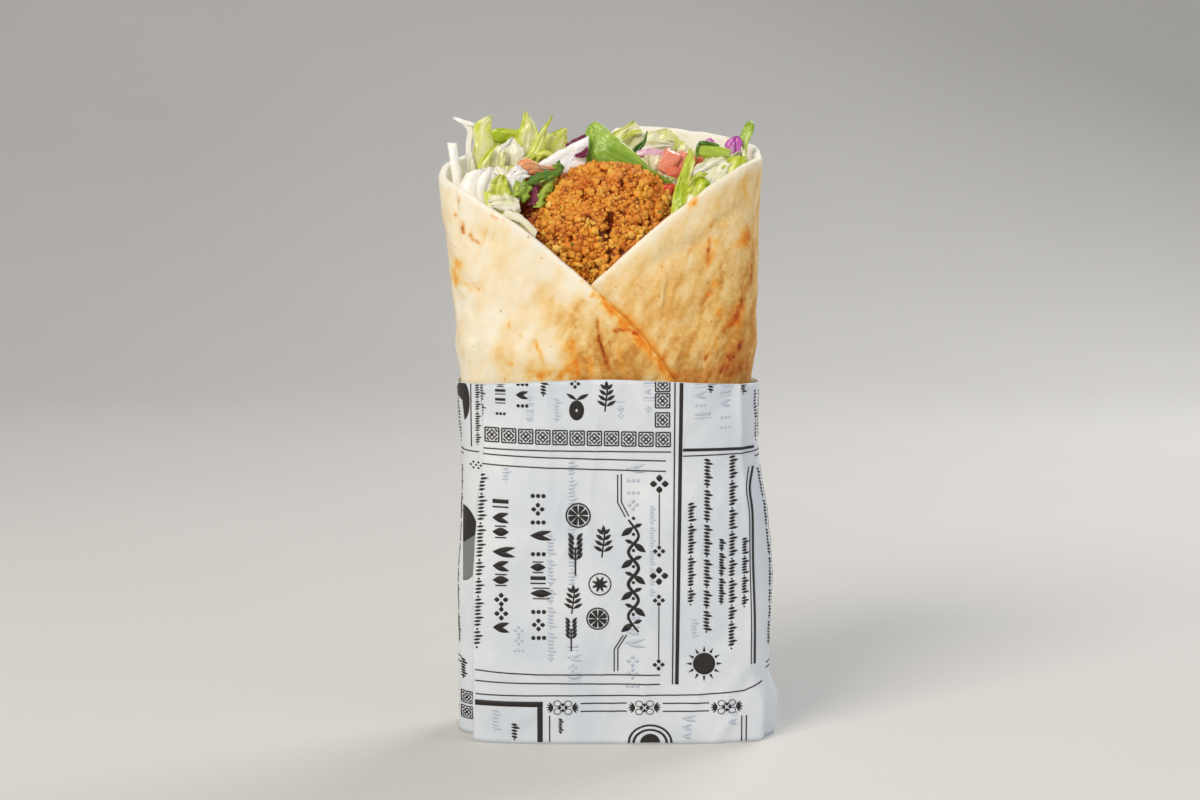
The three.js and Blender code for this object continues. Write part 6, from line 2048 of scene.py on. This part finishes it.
piece_of("cucumber_slice", [
    (leaf_between(
        [(24.7, 163.2), (29, 162.6), (33.6, 163.5)], [(25.1, 167.7), (29.2, 167.5), (33.9, 165.9)],
        (-5.2, -5.2), thick=1.2, ruffle=0.1, fold=0.2, jag=0.05, seed=12),
        (0.5, 0.35, 0.05, 0.12)),
    (leaf_between(
        [(24.9, 167.4), (27.2, 167.6), (30.6, 167)], [(25.1, 168), (27, 168.2), (30.8, 167.3)],
        (-5.6, -5.4), thick=1, ruffle=0, fold=0.1, seed=13), (1.1, 0.8, 0, 0)),
    (leaf_between(
        [(24.5, 163.4), (24.5, 165.6), (24.8, 167.8)],
        [(24.8, 163.4), (24.8, 165.6), (25.3, 167.8)],
        (-5.6, -5.6), thick=1, ruffle=0, fold=0.1, seed=14), (0.7, 1, 0, 0))
], cucumber_flesh, "cucumber", "cucumber")

# %% [markdown]
# ## Red onion and the rib of a red cabbage
#
# An onion's layers are thin curved sheets, pale inside and purple at the skin, so a leaf whose
# shade deepens towards one edge makes them. The rib is the thick white core of a cabbage leaf.
# One colour ramp could give it purple edges, but they are uneven cuts, so they are strips.

# %% Onion and the cabbage rib
piece_of("onion_arc_right", [
    (leaf_between(
        [(35.2, 162.6), (34.4, 164.8), (32.7, 167), (33.8, 168.8), (35.3, 169.7)],
        [(36.4, 162.6), (36.9, 165.4), (37.3, 167.4), (37, 169.1), (36.2, 169.8)],
        (-2.5, -2), thick=0.6, cup=0.2, ruffle=0.2, fold=0.4, jag=0.3, seed=1),
        (0.5, 0.85, 0.1, 0)),
    (leaf_between(
        [(33.4, 164.2), (34, 166.4), (34.8, 168.2)], [(34.6, 163.6), (35.2, 166), (35.4, 168.2)],
        (-3.1, -2.7), thick=0.5, fold=0.4, jag=0.2, seed=41), (0.3, 0.6, 0, 0.1))
], onion_flesh, "onion", "onion_right")
piece_of("onion_arc_middle", [
    (leaf_between(
        [(26.6, 164), (26.8, 167.6), (27.6, 168.9)], [(30.8, 164), (30.4, 167.2), (28.9, 169.4)],
        (0, 1), thick=0.7, fold=0.6, seed=5), (0.55, 0.6, 0, 0))
], onion_flesh, "onion", "onion_middle")
piece_of("onion_strip_pink", [
    (leaf_between(
        [(7.4, 163.9), (11.4, 163.8), (15.2, 164.2)], [(7.8, 165.7), (11, 166.3), (15.2, 166.1)],
        (-1.6, -2.6), thick=0.6, fold=0.6, jag=0.3, seed=7), (0.05, 0.2, 0, 0.25))
], onion_flesh, "onion", "onion_pink")
piece_of("onion_strip_dark", [
    (leaf_between(
        [(-22.4, 150.6), (-22.4, 153.6), (-22, 156.4)],
        [(-19.2, 150.6), (-19.2, 154), (-19.6, 156.2)],
        (-13.2, -12.8), thick=0.9, fold=0.6, jag=0.4, seed=8), (1.3, 1.3, 0, 0))
], onion_flesh, "onion", "onion_dark")
piece_of("cabbage_rib_cut", [
    (leaf_between(
        [(-19.2, 159.8), (-14.5, 161.6), (-10.2, 162.8), (-6, 164.4)],
        [(-20.4, 161.5), (-15.6, 164.7), (-11.4, 167.1), (-5.8, 169.7)],
        (-7.4, -5.4), thick=1.6, fold=0.12, jag=0.2, seed=6), (0.02, 0.06, 0, 0)),
    (leaf_between(
        [(-16.4, 158.9), (-11.2, 159), (-7, 160.8)], [(-15, 162.4), (-10, 163.9), (-6.6, 164.2)],
        (-7.6, -6.2), thick=1.2, ruffle=0.2, jag=0.6, fold=0.5, seed=26), (0.1, 0.2, 0, 0)),
    (leaf_between(
        [(-12.2, 166.6), (-9.2, 167.6), (-6.2, 168.4)],
        [(-12.2, 167.4), (-10.2, 168.8), (-6.2, 170.5)],
        (-1.6, -1.2), thick=0.6, ruffle=0, seed=16), (1.2, 1.2, 0, 0)),
    (leaf_between(
        [(-9.6, 164.1), (-7.6, 163.8), (-6, 164.2)], [(-9.4, 164.6), (-7.4, 165.7), (-6, 166.9)],
        (-8, -7.2), thick=0.5, ruffle=0, seed=17), (1.3, 1.3, 0, 0)),
    (leaf_between(
        [(-21.6, 161.2), (-20, 160.8), (-18.2, 161.6)],
        [(-21.6, 163), (-20, 163.3), (-18.2, 163.2)],
        (-4.4, -4.4), thick=0.6, ruffle=0, seed=18), (1, 0.9, 0, 0))
], rib_flesh, "red_cabbage", "red_cabbage_rib")

# %% [markdown]
# ## Floor and light
#
# A plain pale floor and three large soft lights, as for a packshot: a broad key from the upper
# left front, a weaker fill from the right, and one behind that draws the edge of the leaves.

# %% Set the stage
# the backdrop, in metres
SWEEP = {"front": -2.2, "back": 0.9, "radius": 0.9, "top": 3.2, "half_width": 3.5}


def pale_board():
    """Matt board with a faint cloudiness."""
    material, tree, surface = new_material("pale_studio_board")
    where = add_node(tree, "ShaderNodeTexCoord").outputs["Object"]
    tone = add_node(tree, "ShaderNodeTexNoise", {"Scale": 3.0, "Detail": 3.0}, Vector=where)
    colour = add_node(tree, "ShaderNodeValToRGB", {"stops": [(0.3, "#dad8d4"), (0.7, "#dfddd9")]},
                      Fac=tone.outputs["Fac"])
    set_node(surface, {"Roughness": 0.8}, Base_Color=colour.outputs[0])
    return material


def swept_backdrop():
    """A floor that curves up into a wall, so that no horizon shows."""
    bend = [(SWEEP["back"] + SWEEP["radius"] * math.sin(angle),
             SWEEP["radius"] * (1 - math.cos(angle)))
            for angle in np.linspace(0, math.pi / 2, 25)]
    profile = [(SWEEP["front"], 0.0), *bend, (SWEEP["back"] + SWEEP["radius"], SWEEP["top"])]
    points = [(x, y, z) for y, z in profile for x in (-SWEEP["half_width"], SWEEP["half_width"])]
    mesh = bpy.data.meshes.new("backdrop")
    mesh.from_pydata(points, [], [(2 * i, 2 * i + 1, 2 * i + 3, 2 * i + 2)
                                  for i in range(len(profile) - 1)])
    mesh.polygons.foreach_set("use_smooth", [True] * len(mesh.polygons))
    mesh.materials.append(pale_board())
    backdrop = bpy.data.objects.new("backdrop", mesh)
    bpy.context.scene.collection.objects.link(backdrop)


swept_backdrop()
LIGHTS = [
    # name, place in metres, width, watts, colour
    ("key", (-0.66, -0.95, 0.95), 0.65, 13.4, "#fff6ea"),
    ("fill", (1.1, -0.8, 0.5), 1.0, 3.0, "#f6f7ff"),
    ("rim", (0.6, 0.75, 0.9), 0.7, 7.0, "#ffffff"),
]
for name, place_m, width, watts, colour in LIGHTS:
    data = bpy.data.lights.new(name, "AREA")
    data.shape = "SQUARE"
    data.size = width
    data.energy = watts
    data.color = linear(colour)[:3]
    light = bpy.data.objects.new(name, data)
    light.location = place_m
    aim = Vector((0, 0, 0.09)) - light.location
    light.rotation_euler = aim.to_track_quat("-Z", "Y").to_euler()
    bpy.context.scene.collection.objects.link(light)

world = bpy.data.worlds.new("soft_room")
world.use_nodes = True
world.node_tree.nodes["Background"].inputs["Color"].default_value = linear("#e8ebf0")
world.node_tree.nodes["Background"].inputs["Strength"].default_value = 0.38
bpy.context.scene.world = world
bpy.context.scene.view_settings.view_transform = "Standard"
print("lights:", [row[0] for row in LIGHTS])
